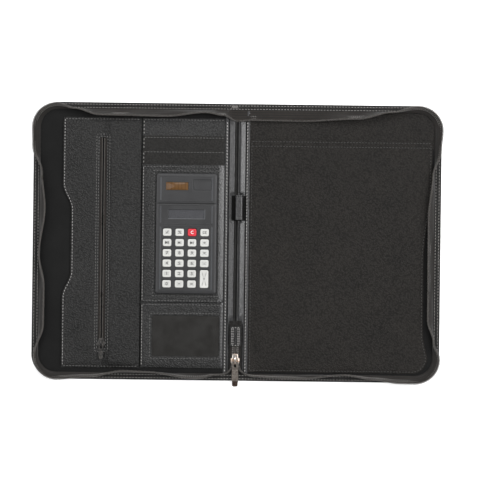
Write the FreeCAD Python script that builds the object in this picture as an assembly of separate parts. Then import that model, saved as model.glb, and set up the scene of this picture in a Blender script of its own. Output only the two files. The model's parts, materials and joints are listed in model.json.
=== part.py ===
"""Zipped A4 portfolio case, lying open and flat, with its organiser and solar calculator.

Frame, in millimetres: the origin is the middle of the spine on the surface the case lies on,
+X points to the pad side (back cover), +Y along the spine to its top end, +Z up.
Two fold lines run along Y at x = +hinge_x and x = -hinge_x, at the mid-thickness of the skin.
"""
import FreeCAD
import Part
import math
import os

V = FreeCAD.Vector

# ---------------------------------------------------------------- driving sizes
case_height = 347.0          # along the spine
cover_width = 242.5          # fold line to outer edge of a cover
spine_width = 26.0           # fold line to fold line
corner_radius = 31.0         # outer corners of the covers

skin = 0.8                   # coated fabric
foam = 0.8                   # foam sheet under the cover skin
cover_board = 1.5            # stiffener board in each cover
spine_board = 1.2            # stiffener board in the spine
lining = 0.5                 # lining of a cover
spine_lining = 0.6
hem_width = 9.2              # turned-over skin around the open face
hinge_gap = 0.3              # free space at a fold
core_margin = 1.0            # spine core to fold line
edge_fit = 0.1               # play of a sheet inside its skin or frame

# zip around the case
seam_inset = 8.5             # outline to the middle of the tape's foot
tape = 0.8                   # tape thickness
tape_reach = 12.0            # foot to the outer edge of the coil
coil_width = 2.4
coil_thick = 2.4
stringer_start_top = 4.5     # fold line to the first tape of a cover, at the top
stringer_start_bottom = 8.6  # the same at the bottom, beside the slider
tape_meeting_gap = 0.3       # between the two coils when the case is shut

# zip pocket and document pocket (front cover)
pocket_bag = 0.2
pocket_plate_room = 1.3      # bag to tape, room for the slider's lower plate
pocket_tape = 0.4
pocket_tape_width = 11.0     # each tape
pocket_panel = 0.8
pocket_row_width = 1.4
pocket_row_height = 1.2
pocket_post_gap = 1.6        # between the two coil rows
document_mouth_inset = 37.5  # outline to the pocket's open edge
document_top_inset = 19.0
document_bottom_inset = 14.5
thumb_depth = 10.6
thumb_straight = 78.0        # length of the recess at full depth
thumb_ease = 32.0            # length of each curved end
pocket_zip_offset = 47.8     # organiser to the middle of the slot
pocket_slot_width = 8.0
pocket_slot_top_inset = 44.5
pocket_slot_bottom_inset = 39.5
pocket_seam = 2.5            # width of a sewn edge of the pocket

# organiser column (front cover)
column_width = 104.0
column_sheet = 0.5
column_fold_gap = 3.0        # fold line to the column
card_slot_edges = (21.9, 40.0, 58.3)   # below the top of the column
window_panel_thick = 0.7
window_film_thick = 0.3
window_card_room = 0.4
window_top_margin = 16.0
window_bottom_margin = 14.4
window_width = 84.0
window_side_margin = 4.8     # window to the column's inner edge
column_wall = 0.8
film_margin = 3.0

# calculator
calculator_width = 75.2
calculator_height = 149.0
calculator_inner_margin = 9.4       # column's inner edge to the calculator
calculator_top_margin = 11.8        # panel's top edge to the calculator
calculator_bottom_margin = 11.3
calculator_fit = 0.4                # calculator to the opening around it
calculator_corner = 2.5
flange_width = 3.0
flange_thick = 0.6
back_plate = 1.0
board_seat = 0.3
circuit_board_thick = 0.6
membrane_thick = 0.4
cavity_height = 1.6                 # membrane to the face plate
face_plate = 1.1
case_wall = 1.4
panel_thick = 0.7

# keys
key_width = 11.0
key_height = 9.5
key_pitch_x = 15.55
key_pitch_y = 12.86
key_corner = 2.0
key_rise = 0.9               # cap above the face
key_hole_gap = 0.25
key_flange = 0.6
key_flange_thick = 0.5
key_flange_play = 0.1
first_key_x = 14.0           # calculator's outer side to the first column
first_key_y = 72.9           # calculator's top to the first row

# display, solar cell and face lines, measured from the calculator's outer top corner
display_box = (15.4, 59.9, 44.6, 55.1)
solar_box = (11.7, 39.7, 10.3, 20.1)
blank_badge_box = (46.1, 68.5, 7.2, 20.1)
upper_frame_box = (5.5, 69.6, 3.2, 33.8)
middle_frame_box = (5.5, 69.6, 38.8, 62.2)
key_frame_box = (5.5, 69.6, 65.1, 145.1)
face_line = 0.8
face_line_rise = 0.3
face_groove_y = 37.0
face_groove = 0.6
cell_flange = 0.8

# pad pocket (back cover)
pad_pocket_mouth = 44.7      # below the top edge of the case
pad_pocket_sheet = 0.8
pad_pocket_room = 0.6
pad_pocket_inset = 11.5
pad_pocket_corner = 19.0
pad_pocket_seam = 2.0

# pen loop
pen_loop_x = 2.5
pen_loop_y = 43.3
pen_loop_length = 30.5
pen_loop_width = 11.0
pen_loop_height = 10.8
pen_loop_wall = 0.9

# tail of the zip, main slider and pull
tail_half = 6.2
tail_top_inset = 67.5        # bottom edge of the case to the tail's end
tail_tape = 0.6
tail_row_width = 1.8
tail_row_height = 1.5
tail_post_gap = 2.4
tail_lift = 1.3              # lining to tape, room for the slider's lower plate
tab_length = 25.2
tab_thick = 1.0
mouth_foot = 4.0
slider_length = 13.0
slider_width = 10.9
slider_nose = 7.2
slider_bottom_inset = 21.1   # bottom edge of the case to the slider's mouth
slider_plate = 0.8
slider_gap = 0.2
slider_post = 2.0
pull_width = 8.4
pull_reach = 31.0            # pin to tip
pull_thick = 1.4
pull_pin = 1.2               # diameter
pull_pin_play = 1.2          # under the bridge
pull_droop = 4.0             # degrees below level at rest
top_tape_reach = 20.5        # outline to the coil's outer edge at the spine's top end

# pocket slider and pull
pocket_slider_length = 10.3
pocket_slider_width = 10.3
pocket_slider_nose = 6.4
pocket_slider_plate = 0.6
pocket_slider_post = 1.2
pocket_slider_inset = 2.0    # slot's lower end to the slider's mouth
pocket_pull_width = 6.0
pocket_pull_reach = 18.6
pocket_pull_thick = 1.2
pocket_pull_pin = 1.0
pocket_pull_pin_play = 1.0
pocket_pull_droop = 2.5

# Free edge of the zip tape, as its distance inside the outline: (part of the run, distance).
# The tape stands up from its seam, flops inwards along the sides and leans out at the corners.
front_wave = {
    "top": ((0.0, 15.5), (0.11, 12.0), (0.35, 16.5), (0.75, 15.6), (0.88, 9.5), (1.0, 3.0)),
    "side": ((0.0, 0.8), (0.08, 1.5), (0.2, 11.8), (0.36, 15.6), (0.56, 9.8), (0.7, 15.4),
             (0.87, 15.2), (1.0, 5.0)),
    "bottom": ((0.0, 1.5), (0.2, 4.5), (0.42, 11.2), (0.56, 10.6), (0.86, 4.2), (1.0, 8.0)),
}
back_wave = {
    "top": ((0.0, 20.0), (0.32, 20.2), (0.64, 17.5), (0.84, 9.3), (1.0, 2.3)),
    "side": ((0.0, 0.8), (0.09, 2.9), (0.2, 11.5), (0.38, 15.9), (0.83, 15.5), (0.93, 8.5),
             (1.0, 1.8)),
    "bottom": ((0.0, 0.8), (0.1, 1.0), (0.25, 5.0), (0.43, 9.2), (0.72, 4.9), (1.0, 6.5)),
}
wave_stations = {"top": 9, "side": 11, "bottom": 9}
corner_stations = 4

key_rows = (
    ("key_root", "key_percent", "key_clear", "key_clear_entry"),
    ("key_memory_recall", "key_memory_minus", "key_memory_plus", "key_divide"),
    ("key_7", "key_8", "key_9", "key_multiply"),
    ("key_4", "key_5", "key_6", "key_minus"),
    ("key_1", "key_2", "key_3", "key_plus"),
    ("key_0", "key_point", "key_equals"),
)
tall_key = "key_plus"        # spans this row and the next

# ---------------------------------------------------------------- derived places
half_height = case_height / 2
hinge_x = spine_width / 2
outer_x = hinge_x + cover_width
axis_z = skin / 2

foam_top = skin + foam
board_top = foam_top + cover_board
lining_top = board_top + lining
hem_top = board_top + skin
spine_board_top = skin + spine_board
spine_top = spine_board_top + spine_lining
spine_core_x = hinge_x - core_margin
core_x = hinge_x + math.hypot(core_margin, spine_top - axis_z) + hinge_gap
tip_z_limit = axis_z + hinge_x - tape_meeting_gap / 2

pad_pocket_top = lining_top + pad_pocket_room + pad_pocket_sheet
fitting_half = hinge_x - (pad_pocket_top - axis_z + hinge_gap)

column_right = -(hinge_x + column_fold_gap)
column_left = column_right - column_width
column_top = half_height - document_top_inset
column_bottom = -(half_height - document_bottom_inset - 1.0)
base_top = lining_top + column_sheet
upper_slot_top = base_top + column_sheet
lower_slot_top = upper_slot_top + column_sheet

calculator_base = lower_slot_top
flange_top = calculator_base + flange_thick
panel_top = flange_top + panel_thick
back_plate_top = calculator_base + back_plate
board_base = back_plate_top + board_seat
circuit_top = board_base + circuit_board_thick
membrane_top = circuit_top + membrane_thick
face_under = membrane_top + cavity_height
face_top = face_under + face_plate
calculator_right = column_right - calculator_inner_margin
calculator_left = calculator_right - calculator_width
panel_edge = column_top - card_slot_edges[2]
calculator_top = panel_edge - calculator_top_margin
calculator_bottom = calculator_top - calculator_height
panel_bottom = calculator_bottom - calculator_bottom_margin
window_edge = panel_bottom - 0.5

film_base = base_top + window_card_room
film_top = film_base + window_film_thick
window_top_z = film_top + window_panel_thick

bag_top = lining_top + pocket_bag
pocket_tape_base = bag_top + pocket_plate_room
pocket_tape_top = pocket_tape_base + pocket_tape
pocket_rows_top = pocket_tape_top + pocket_row_height
document_left = -(outer_x - document_mouth_inset)
document_top = half_height - document_top_inset
document_bottom = -(half_height - document_bottom_inset)
document_right = column_left - 0.5
pocket_zip_x = column_left - pocket_zip_offset
slot_top = half_height - pocket_slot_top_inset
slot_bottom = -(half_height - pocket_slot_bottom_inset)

tail_tape_base = spine_top + tail_lift
tail_tape_top = tail_tape_base + tail_tape
tail_rows_top = tail_tape_top + tail_row_height
tail_end = -(half_height - tail_top_inset)
slider_mouth = -(half_height - slider_bottom_inset)


# ---------------------------------------------------------------- building blocks
def block(x0, x1, y0, y1, z0, z1):
    """A plain box between the given planes, in any order."""
    corner = V(min(x0, x1), min(y0, y1), min(z0, z1))
    return Part.makeBox(abs(x1 - x0), abs(y1 - y0), abs(z1 - z0), corner)


def extruded(points, z0, z1):
    """A plate with a polygon outline."""
    wire = Part.makePolygon([V(x, y, z0) for x, y in points] + [V(points[0][0], points[0][1], z0)])
    return Part.Face(wire).extrude(V(0, 0, z1 - z0))


def rounded(x0, x1, y0, y1, z0, z1, radius):
    """A plate with four rounded vertical edges."""
    plate = block(x0, x1, y0, y1, z0, z1)
    limit = 0.49 * min(abs(x1 - x0), abs(y1 - y0))
    upright = [e for e in plate.Edges if abs(e.tangentAt(e.FirstParameter).z) > 0.9]
    return plate.makeFillet(min(radius, limit), upright)


def joined(*shapes):
    """One solid from overlapping or touching ones."""
    result = shapes[0]
    for shape in shapes[1:]:
        result = result.fuse(shape)
    return result.removeSplitter()


def cover_slab(side, inset, inner, z0, z1):
    """A cover-shaped plate: straight at the fold, rounded at both outer corners."""
    x = outer_x - inset
    y = half_height - inset
    r = corner_radius - inset
    q = r * (1 - math.sqrt(0.5))
    points = {
        "a": V(side * inner, -y, z0), "b": V(side * (x - r), -y, z0),
        "c": V(side * (x - q), -y + q, z0), "d": V(side * x, -y + r, z0),
        "e": V(side * x, y - r, z0), "f": V(side * (x - q), y - q, z0),
        "g": V(side * (x - r), y, z0), "h": V(side * inner, y, z0),
    }
    edges = [
        Part.LineSegment(points["a"], points["b"]).toShape(),
        Part.Arc(points["b"], points["c"], points["d"]).toShape(),
        Part.LineSegment(points["d"], points["e"]).toShape(),
        Part.Arc(points["e"], points["f"], points["g"]).toShape(),
        Part.LineSegment(points["g"], points["h"]).toShape(),
        Part.LineSegment(points["h"], points["a"]).toShape(),
    ]
    return Part.Face(Part.Wire(edges)).extrude(V(0, 0, z1 - z0))


def knuckle(side, radius):
    """A rod along the fold line."""
    start = V(side * hinge_x, -half_height, axis_z)
    return Part.makeCylinder(radius, case_height, start, V(0, 1, 0))


# ---------------------------------------------------------------- covers and spine
def cover_skin(side):
    """Skin of one cover: outer face, turned edge and hem on three sides."""
    sheet = cover_slab(side, 0, hinge_x, 0, skin).cut(knuckle(side, axis_z + hinge_gap))
    edge = cover_slab(side, 0, core_x, skin, board_top)
    edge = edge.cut(cover_slab(side, skin, core_x - 1, skin, board_top))
    hem = cover_slab(side, 0, core_x, board_top, hem_top)
    hem = hem.cut(cover_slab(side, hem_width, core_x - 1, board_top, hem_top))
    return joined(sheet, edge, hem)


def cover_foam(side):
    return cover_slab(side, skin + edge_fit, core_x, skin, foam_top)


def cover_stiffener(side):
    return cover_slab(side, skin + edge_fit, core_x, foam_top, board_top)


def cover_lining(side):
    return cover_slab(side, hem_width + edge_fit, core_x, board_top, lining_top)


def make_spine_skin():
    """Spine skin: its long edges are beads on the fold lines, its ends are hemmed."""
    sheet = block(-hinge_x, hinge_x, -half_height, half_height, 0, skin)
    pieces = [sheet, knuckle(1, axis_z), knuckle(-1, axis_z)]
    for end in (-1, 1):
        edge_y = end * half_height
        edge = block(-spine_core_x, spine_core_x, edge_y, edge_y - end * skin, skin, spine_board_top)
        hem = block(-spine_core_x, spine_core_x, edge_y, edge_y - end * seam_inset,
                    spine_board_top, spine_top)
        pieces += [edge, hem]
    return joined(*pieces)


def make_spine_board():
    y = half_height - skin - edge_fit
    return block(-spine_core_x, spine_core_x, -y, y, skin, spine_board_top)


def make_spine_lining():
    """Spine lining with two soft ridges, left flat under the pen loop and at both ends."""
    ridge_outer = fitting_half
    ridge_inner = 0.8
    ridge_rise = 1.0
    y = half_height - seam_inset - edge_fit
    sheet = block(-spine_core_x, spine_core_x, -y, y, spine_board_top, spine_top)
    loop_low = pen_loop_y - pen_loop_length / 2 - 0.5
    loop_high = pen_loop_y + pen_loop_length / 2 + 0.5
    spans = ((tail_end + 2.0, loop_low), (loop_high, half_height - top_tape_reach - 3.0))
    pieces = [sheet]
    for y0, y1 in spans:
        for side in (-1, 1):
            a = V(side * ridge_inner, y0, spine_top)
            b = V(side * (ridge_inner + ridge_outer) / 2, y0, spine_top + ridge_rise)
            c = V(side * ridge_outer, y0, spine_top)
            arch = Part.Wire([Part.Arc(a, b, c).toShape(), Part.LineSegment(c, a).toShape()])
            pieces.append(Part.Face(arch).extrude(V(0, y1 - y0, 0)))
    return joined(*pieces)


# ---------------------------------------------------------------- zip around the case
def eased(wave, t):
    """Smooth reading of a (position, value) list."""
    for (t0, v0), (t1, v1) in zip(wave, wave[1:]):
        if t <= t1:
            part = (t - t0) / (t1 - t0)
            return v0 + (v1 - v0) * (3 - 2 * part) * part * part
    return wave[-1][1]


def seam_path(wave):
    """Stations along the seam of a cover: (x, y, outward normal x, y, free-edge inset)."""
    r = corner_radius - seam_inset
    corner_x = outer_x - corner_radius
    corner_y = half_height - corner_radius
    stations = []
    count = wave_stations["top"]
    start = hinge_x + stringer_start_top
    for i in range(count):
        t = i / (count - 1)
        x = start + (corner_x - start) * t
        stations.append((x, corner_y + r, 0, 1, eased(wave["top"], t)))
    stations += corner_turn(corner_x, corner_y, r, 90, 0, wave["top"][-1][1], wave["side"][0][1])
    count = wave_stations["side"]
    for i in range(count):
        t = i / (count - 1)
        y = corner_y * (1 - 2 * t)
        stations.append((corner_x + r, y, 1, 0, eased(wave["side"], t)))
    stations += corner_turn(corner_x, -corner_y, r, 0, -90, wave["side"][-1][1],
                            wave["bottom"][0][1])
    count = wave_stations["bottom"]
    end = hinge_x + stringer_start_bottom
    for i in range(count):
        t = i / (count - 1)
        x = corner_x + (end - corner_x) * t
        stations.append((x, -corner_y - r, 0, -1, eased(wave["bottom"], t)))
    return stations


def corner_turn(x, y, r, from_deg, to_deg, first, last):
    """Stations strictly inside one rounded corner."""
    turn = []
    for i in range(1, corner_stations + 1):
        t = i / (corner_stations + 1)
        angle = math.radians(from_deg + (to_deg - from_deg) * t)
        nx = math.cos(angle)
        ny = math.sin(angle)
        turn.append((x + r * nx, y + r * ny, nx, ny, first + (last - first) * t))
    return turn


def stringer_section(side, station):
    """Tape standing on the hem, with the coil along its free edge, cut across the seam."""
    x, y, nx, ny, inset = station
    lean = inset - seam_inset
    lift_limit = tip_z_limit - hem_top - coil_thick / 2
    lift = math.sqrt(max(tape_reach ** 2 - lean ** 2, 0))
    lift = min(max(lift, coil_thick / 2 + 0.4), lift_limit)
    length = math.hypot(lean, lift)
    along = (lean / length, lift / length)
    across = (along[1], -along[0])
    neck = length - coil_width

    def at(distance, offset):
        inward = along[0] * distance + across[0] * offset
        up = max(along[1] * distance + across[1] * offset, 0)
        return V(side * (x - nx * inward), y - ny * inward, hem_top + up)

    half_tape = tape / 2
    half_coil = coil_thick / 2
    foot_out = V(side * (x + nx * half_tape), y + ny * half_tape, hem_top)
    foot_in = V(side * (x - nx * half_tape), y - ny * half_tape, hem_top)
    corners = [foot_out, foot_in, at(neck, half_tape), at(neck, half_coil),
               at(length, half_coil), at(length, -half_coil), at(neck, -half_coil),
               at(neck, -half_tape)]
    return Part.makePolygon(corners + [corners[0]])


def zip_stringer(side, wave):
    """The zip half that is sewn around three sides of a cover."""
    sections = [stringer_section(side, station) for station in seam_path(wave)]
    return Part.makeLoft(sections, True, True)


def make_spine_stringers():
    """Both zip ends on the spine: flat across its top, closed tail and slider mouth below."""
    solids = []
    top_coil_y = half_height - top_tape_reach
    for side in (-1, 1):
        near = side * edge_fit
        far = side * fitting_half
        flat = block(near, far, top_coil_y + coil_width, half_height - seam_inset + 4.0,
                     spine_top, spine_top + tail_tape)
        row = block(near, far, top_coil_y, top_coil_y + coil_width, spine_top,
                    spine_top + tail_row_height)
        solids.append(joined(flat, row))
        inner = tail_post_gap / 2
        row_outer = inner + tail_row_width
        mouth_y = slider_mouth - 1.0
        foot_y = -(half_height - seam_inset + 2.0)
        spread = fitting_half - tail_row_width - 1.6
        tape_plate = extruded(
            [(side * inner, tail_end), (side * tail_half, tail_end), (side * tail_half, mouth_y),
             (side * fitting_half, foot_y + mouth_foot), (side * fitting_half, foot_y),
             (side * spread, foot_y), (side * spread, foot_y + mouth_foot),
             (side * inner, mouth_y)], tail_tape_base, tail_tape_top)
        coil_row = extruded(
            [(side * inner, tail_end), (side * row_outer, tail_end), (side * row_outer, mouth_y),
             (side * (spread + tail_row_width), foot_y + mouth_foot),
             (side * spread, foot_y + mouth_foot), (side * inner, mouth_y)],
            tail_tape_top, tail_rows_top)
        foot = block(side * spread, side * fitting_half, foot_y, foot_y + mouth_foot,
                     spine_top, tail_tape_base)
        solids.append(joined(tape_plate, coil_row, foot))
    return Part.makeCompound(solids)


def make_end_tab():
    """Sewn cover that wraps the zip's tail and holds it on the spine lining."""
    half = tail_half + tab_thick
    low = tail_end - tab_length + 1.0
    high = tail_end + 1.0
    body = rounded(-half, half, low, high, spine_top, tail_rows_top + tab_thick, 1.5)
    tape_room = block(-tail_half, tail_half, low - 1, tail_end, tail_tape_base, tail_tape_top)
    row_half = tail_post_gap / 2 + tail_row_width
    row_room = block(-row_half, row_half, low - 1, tail_end, tail_tape_top, tail_rows_top)
    return body.cut(tape_room).cut(row_room)


# ---------------------------------------------------------------- sliders and pulls
def slider_plate_shape(x, mouth, length, width, nose, z0, z1):
    """Slider plate seen from above: wide shoulders at the mouth, narrow nose."""
    shoulder = 0.62 * length
    return extruded(
        [(x - 0.40 * width, mouth), (x + 0.40 * width, mouth),
         (x + width / 2, mouth + 0.12 * length), (x + width / 2, mouth + shoulder),
         (x + nose / 2, mouth + length), (x - nose / 2, mouth + length),
         (x - width / 2, mouth + shoulder), (x - width / 2, mouth + 0.12 * length)], z0, z1)


def make_slider(x, mouth, length, width, nose, plate, post, base, tape_top, rows_top, row_half,
                flange_half, pin_room):
    """Lower plate, post, upper plate with two lips, and the bridge that holds the pull."""
    top_base = rows_top + hinge_gap
    top = top_base + plate
    lower = slider_plate_shape(x, mouth, length, width, nose, base, base + plate)
    upper = slider_plate_shape(x, mouth, length, width, nose, top_base, top)
    diamond = block(x - post / 2, x + post / 2, mouth, mouth + 0.3 * length, base, top)
    lips = [block(x + side * (row_half + hinge_gap), x + side * flange_half,
                  mouth + 0.12 * length, mouth + 0.62 * length, tape_top + slider_gap, top_base)
            for side in (-1, 1)]
    leg = 1.2
    arch_low = mouth + 0.06 * length
    arch_high = mouth + 0.70 * length
    half = 1.0
    arch = block(x - half, x + half, arch_low, arch_high, top, top + pin_room + plate)
    hole = block(x - half - 1, x + half + 1, arch_low + leg, arch_high - leg, top, top + pin_room)
    return joined(lower, upper, diamond, *lips, arch.cut(hole))


def pin_place(mouth, length, rows_top, plate, pin, play):
    """Pin axis of a pull: inside the bridge, near its outer leg. Gives y and z."""
    y = mouth + 0.06 * length + 1.2 + hinge_gap + pin / 2
    z = rows_top + hinge_gap + plate + (pin + play) / 2
    return y, z


def make_pull(x, pin_y, pin_z, width, reach, thick, pin_thick, droop):
    """Flat pull: a pin under the bridge, two arms around it, a blade with a rounded tip."""
    arm_in = 1.0 + hinge_gap
    ring = 6.9 if width > 7 else 5.6
    pin = Part.makeCylinder(pin_thick / 2, 2 * arm_in + 1.0, V(x - arm_in - 0.5, pin_y, pin_z),
                            V(1, 0, 0))
    blade = rounded(x - width / 2, x + width / 2, pin_y - reach, pin_y + pin_thick / 2,
                    pin_z - thick / 2, pin_z + thick / 2, 0.24 * width)
    window = block(x - arm_in, x + arm_in, pin_y - ring, pin_y + pin_thick / 2 + 2,
                   pin_z - thick, pin_z + thick)
    pull = joined(blade.cut(window), pin)
    pull.rotate(V(x, pin_y, pin_z), V(1, 0, 0), droop)
    return pull


def make_main_slider():
    row_half = tail_post_gap / 2 + tail_row_width
    base = tail_tape_base - slider_gap - slider_plate
    return make_slider(0, slider_mouth, slider_length, slider_width, slider_nose, slider_plate,
                       slider_post, base, tail_tape_top, tail_rows_top, row_half,
                       slider_width / 2 - 0.4, pull_pin + pull_pin_play)


def make_main_pull():
    y, z = pin_place(slider_mouth, slider_length, tail_rows_top, slider_plate, pull_pin,
                     pull_pin_play)
    return make_pull(0, y, z, pull_width, pull_reach, pull_thick, pull_pin, pull_droop)


def make_pocket_slider():
    row_half = pocket_post_gap / 2 + pocket_row_width
    base = pocket_tape_base - slider_gap - pocket_slider_plate
    return make_slider(pocket_zip_x, slot_bottom + pocket_slider_inset, pocket_slider_length,
                       pocket_slider_width, pocket_slider_nose, pocket_slider_plate,
                       pocket_slider_post, base, pocket_tape_top, pocket_rows_top, row_half,
                       pocket_slot_width / 2 - hinge_gap,
                       pocket_pull_pin + pocket_pull_pin_play)


def make_pocket_pull():
    y, z = pin_place(slot_bottom + pocket_slider_inset, pocket_slider_length, pocket_rows_top,
                     pocket_slider_plate, pocket_pull_pin, pocket_pull_pin_play)
    return make_pull(pocket_zip_x, y, z, pocket_pull_width, pocket_pull_reach, pocket_pull_thick,
                     pocket_pull_pin, pocket_pull_droop)


# ---------------------------------------------------------------- pockets
def make_document_pocket():
    """Panel over the front cover: sewn on three sides, open on the left with a thumb recess."""
    deep = document_left + thumb_depth
    flat = thumb_straight / 2
    start = flat + thumb_ease
    corners = [(document_left, start), (document_left, document_top), (document_right, document_top),
               (document_right, document_bottom), (document_left, document_bottom),
               (document_left, -start)]
    z = pocket_tape_top
    points = [V(x, y, z) for x, y in corners]
    edges = [Part.LineSegment(a, b).toShape() for a, b in zip(points, points[1:])]
    middle = flat + thumb_ease / 2
    for side in (-1, 1):
        ease = Part.BezierCurve()
        ease.setPoles([V(document_left, side * start, z), V(document_left, side * middle, z),
                       V(deep, side * middle, z), V(deep, side * flat, z)])
        edges.append(ease.toShape())
    edges.append(Part.LineSegment(V(deep, flat, z), V(deep, -flat, z)).toShape())
    outline = Part.Wire(Part.__sortEdges__(edges))
    panel = Part.Face(outline).extrude(V(0, 0, pocket_panel))
    slot = rounded(pocket_zip_x - pocket_slot_width / 2, pocket_zip_x + pocket_slot_width / 2,
                   slot_bottom, slot_top, z - 1, z + 2, 1.5)
    seams = [
        block(document_left, document_right, document_top - pocket_seam, document_top,
              lining_top, z),
        block(document_left, document_right, document_bottom, document_bottom + pocket_seam,
              lining_top, z),
        block(document_right - pocket_seam, document_right, document_bottom, document_top,
              lining_top, z),
    ]
    return joined(panel.cut(slot), *seams)


def make_zip_bag():
    """Pouch behind the pocket zip: back sheet and the two mouth edges under the tapes."""
    left = document_left + thumb_depth + 2.0
    right = document_right - pocket_seam - edge_fit
    low = document_bottom + pocket_seam + edge_fit
    high = document_top - pocket_seam - edge_fit
    sheet = block(left, right, low, high, lining_top, bag_top)
    walls = []
    for side in (-1, 1):
        outer = pocket_zip_x + side * pocket_tape_width
        walls.append(block(outer, outer - side * 0.8, slot_bottom - 3, slot_top + 3, bag_top,
                           pocket_tape_base))
    return joined(sheet, *walls)


def make_pocket_stringers():
    """Two tapes with their coil rows, a post's width apart."""
    solids = []
    for side in (-1, 1):
        inner = pocket_zip_x + side * pocket_post_gap / 2
        outer = pocket_zip_x + side * pocket_tape_width
        row = inner + side * pocket_row_width
        tape_strip = block(inner, outer, slot_bottom - 4, slot_top + 4, pocket_tape_base,
                           pocket_tape_top)
        coil_strip = block(inner, row, slot_bottom + edge_fit, slot_top - edge_fit,
                           pocket_tape_top, pocket_rows_top)
        solids.append(joined(tape_strip, coil_strip))
    return Part.makeCompound(solids)


def make_pad_pocket():
    """Large pocket for the pad: open at the top, sewn at the other three sides."""
    z = lining_top + pad_pocket_room
    mouth = half_height - pad_pocket_mouth
    outline = cover_slab_rounded(pad_pocket_inset, pad_pocket_corner, core_x, mouth, lining_top,
                                 pad_pocket_top)
    inner = cover_slab_rounded(pad_pocket_inset + pad_pocket_seam,
                               pad_pocket_corner - pad_pocket_seam,
                               core_x + pad_pocket_seam, mouth + 5, lining_top, z)
    return outline.cut(inner)


def cover_slab_rounded(inset, radius, inner, mouth, z0, z1):
    """Back-cover plate with a straight upper edge and one rounded corner below."""
    x = outer_x - inset
    y = half_height - inset
    q = radius * (1 - math.sqrt(0.5))
    a = V(inner, -y, z0)
    b = V(x - radius, -y, z0)
    c = V(x - q, -y + q, z0)
    d = V(x, -y + radius, z0)
    e = V(x, mouth, z0)
    f = V(inner, mouth, z0)
    edges = [Part.LineSegment(a, b).toShape(), Part.Arc(b, c, d).toShape(),
             Part.LineSegment(d, e).toShape(), Part.LineSegment(e, f).toShape(),
             Part.LineSegment(f, a).toShape()]
    return Part.Face(Part.Wire(edges)).extrude(V(0, 0, z1 - z0))


def make_pen_loop():
    """Closed sleeve with a domed top on a flat base."""
    y0 = pen_loop_y - pen_loop_length / 2

    def dome(wall, length, start):
        half = pen_loop_width / 2 - wall
        low = spine_top + wall
        high = spine_top + pen_loop_height - wall
        round_z = high - half * 0.85
        a = V(pen_loop_x - half, start, low)
        b = V(pen_loop_x + half, start, low)
        c = V(pen_loop_x + half, start, round_z)
        d = V(pen_loop_x, start, high)
        e = V(pen_loop_x - half, start, round_z)
        wire = Part.Wire([Part.LineSegment(a, b).toShape(), Part.LineSegment(b, c).toShape(),
                          Part.Arc(c, d, e).toShape(), Part.LineSegment(e, a).toShape()])
        return Part.Face(wire).extrude(V(0, length, 0))

    return dome(0, pen_loop_length, y0).cut(dome(pen_loop_wall, pen_loop_length + 4, y0 - 2))


# ---------------------------------------------------------------- organiser column
def column_sheet_between(y0, y1, z0, inset=0.0):
    return block(column_left + inset, column_right - inset, y0, y1, z0, z0 + column_sheet)


def make_organiser_base():
    return column_sheet_between(column_bottom, column_top, lining_top)


def make_card_slot(edge, z0):
    return column_sheet_between(panel_bottom, column_top - edge, z0, column_wall + edge_fit)


def make_calculator_panel():
    """Frame around the calculator, with the third card slot along its top edge."""
    sheet = block(column_left, column_right, panel_bottom, panel_edge, flange_top, panel_top)
    gap = calculator_fit
    opening = rounded(calculator_left - gap, calculator_right + gap, calculator_bottom - gap,
                      calculator_top + gap, flange_top - 1, panel_top + 1, calculator_corner + gap)
    left = block(column_left, column_left + column_wall, panel_bottom, panel_edge, base_top,
                 flange_top)
    right = block(column_right - column_wall, column_right, panel_bottom, panel_edge, base_top,
                  flange_top)
    foot = block(column_left, column_right, panel_bottom, panel_bottom + 1.5, lower_slot_top,
                 flange_top)
    return joined(sheet.cut(opening), left, right, foot)


def make_window_panel():
    """Frame of the card window, sewn on three sides, open along its top edge."""
    sheet = block(column_left, column_right, column_bottom, window_edge, film_top, window_top_z)
    right = column_right - window_side_margin
    opening = rounded(right - window_width, right, column_bottom + window_bottom_margin,
                      window_edge - window_top_margin, film_top - 1, window_top_z + 1, 2.0)
    sides = [
        block(column_left, column_left + column_wall, column_bottom, window_edge, base_top,
              film_top),
        block(column_right - column_wall, column_right, column_bottom, window_edge, base_top,
              film_top),
        block(column_left, column_right, column_bottom, column_bottom + column_wall, base_top,
              film_top),
    ]
    return joined(sheet.cut(opening), *sides)


def make_window_film():
    right = column_right - window_side_margin
    return block(right - window_width - film_margin, right + film_margin,
                 column_bottom + window_bottom_margin - film_margin,
                 window_edge - window_top_margin + film_margin, film_base, film_top)


# ---------------------------------------------------------------- calculator
def on_face(box, z0, z1, grow=0.0):
    """A box on the calculator's face, from distances to its outer top corner."""
    x0, x1, y0, y1 = box
    return block(calculator_left + x0 - grow, calculator_left + x1 + grow,
                 calculator_top - y0 + grow, calculator_top - y1 - grow, z0, z1)


def key_centres():
    """Name, centre and height of every key."""
    centres = []
    for row, names in enumerate(key_rows):
        for column, name in enumerate(names):
            x = calculator_left + first_key_x + column * key_pitch_x
            y = calculator_top - first_key_y - row * key_pitch_y
            height = key_height
            if name == tall_key:
                y -= key_pitch_y / 2
                height += key_pitch_y
            centres.append((name, x, y, height))
    return centres


def key_prism(x, y, height, grow, z0, z1):
    half_x = key_width / 2 + grow
    half_y = height / 2 + grow
    return rounded(x - half_x, x + half_x, y - half_y, y + half_y, z0, z1, key_corner + grow)


def make_key(x, y, height):
    """Cap with a flange that keeps it under the face."""
    top = face_under - key_flange_play
    cap = key_prism(x, y, height, 0, top - key_flange_thick, face_top + key_rise)
    flange = key_prism(x, y, height, key_flange, top - key_flange_thick, top)
    return joined(cap, flange)


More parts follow.
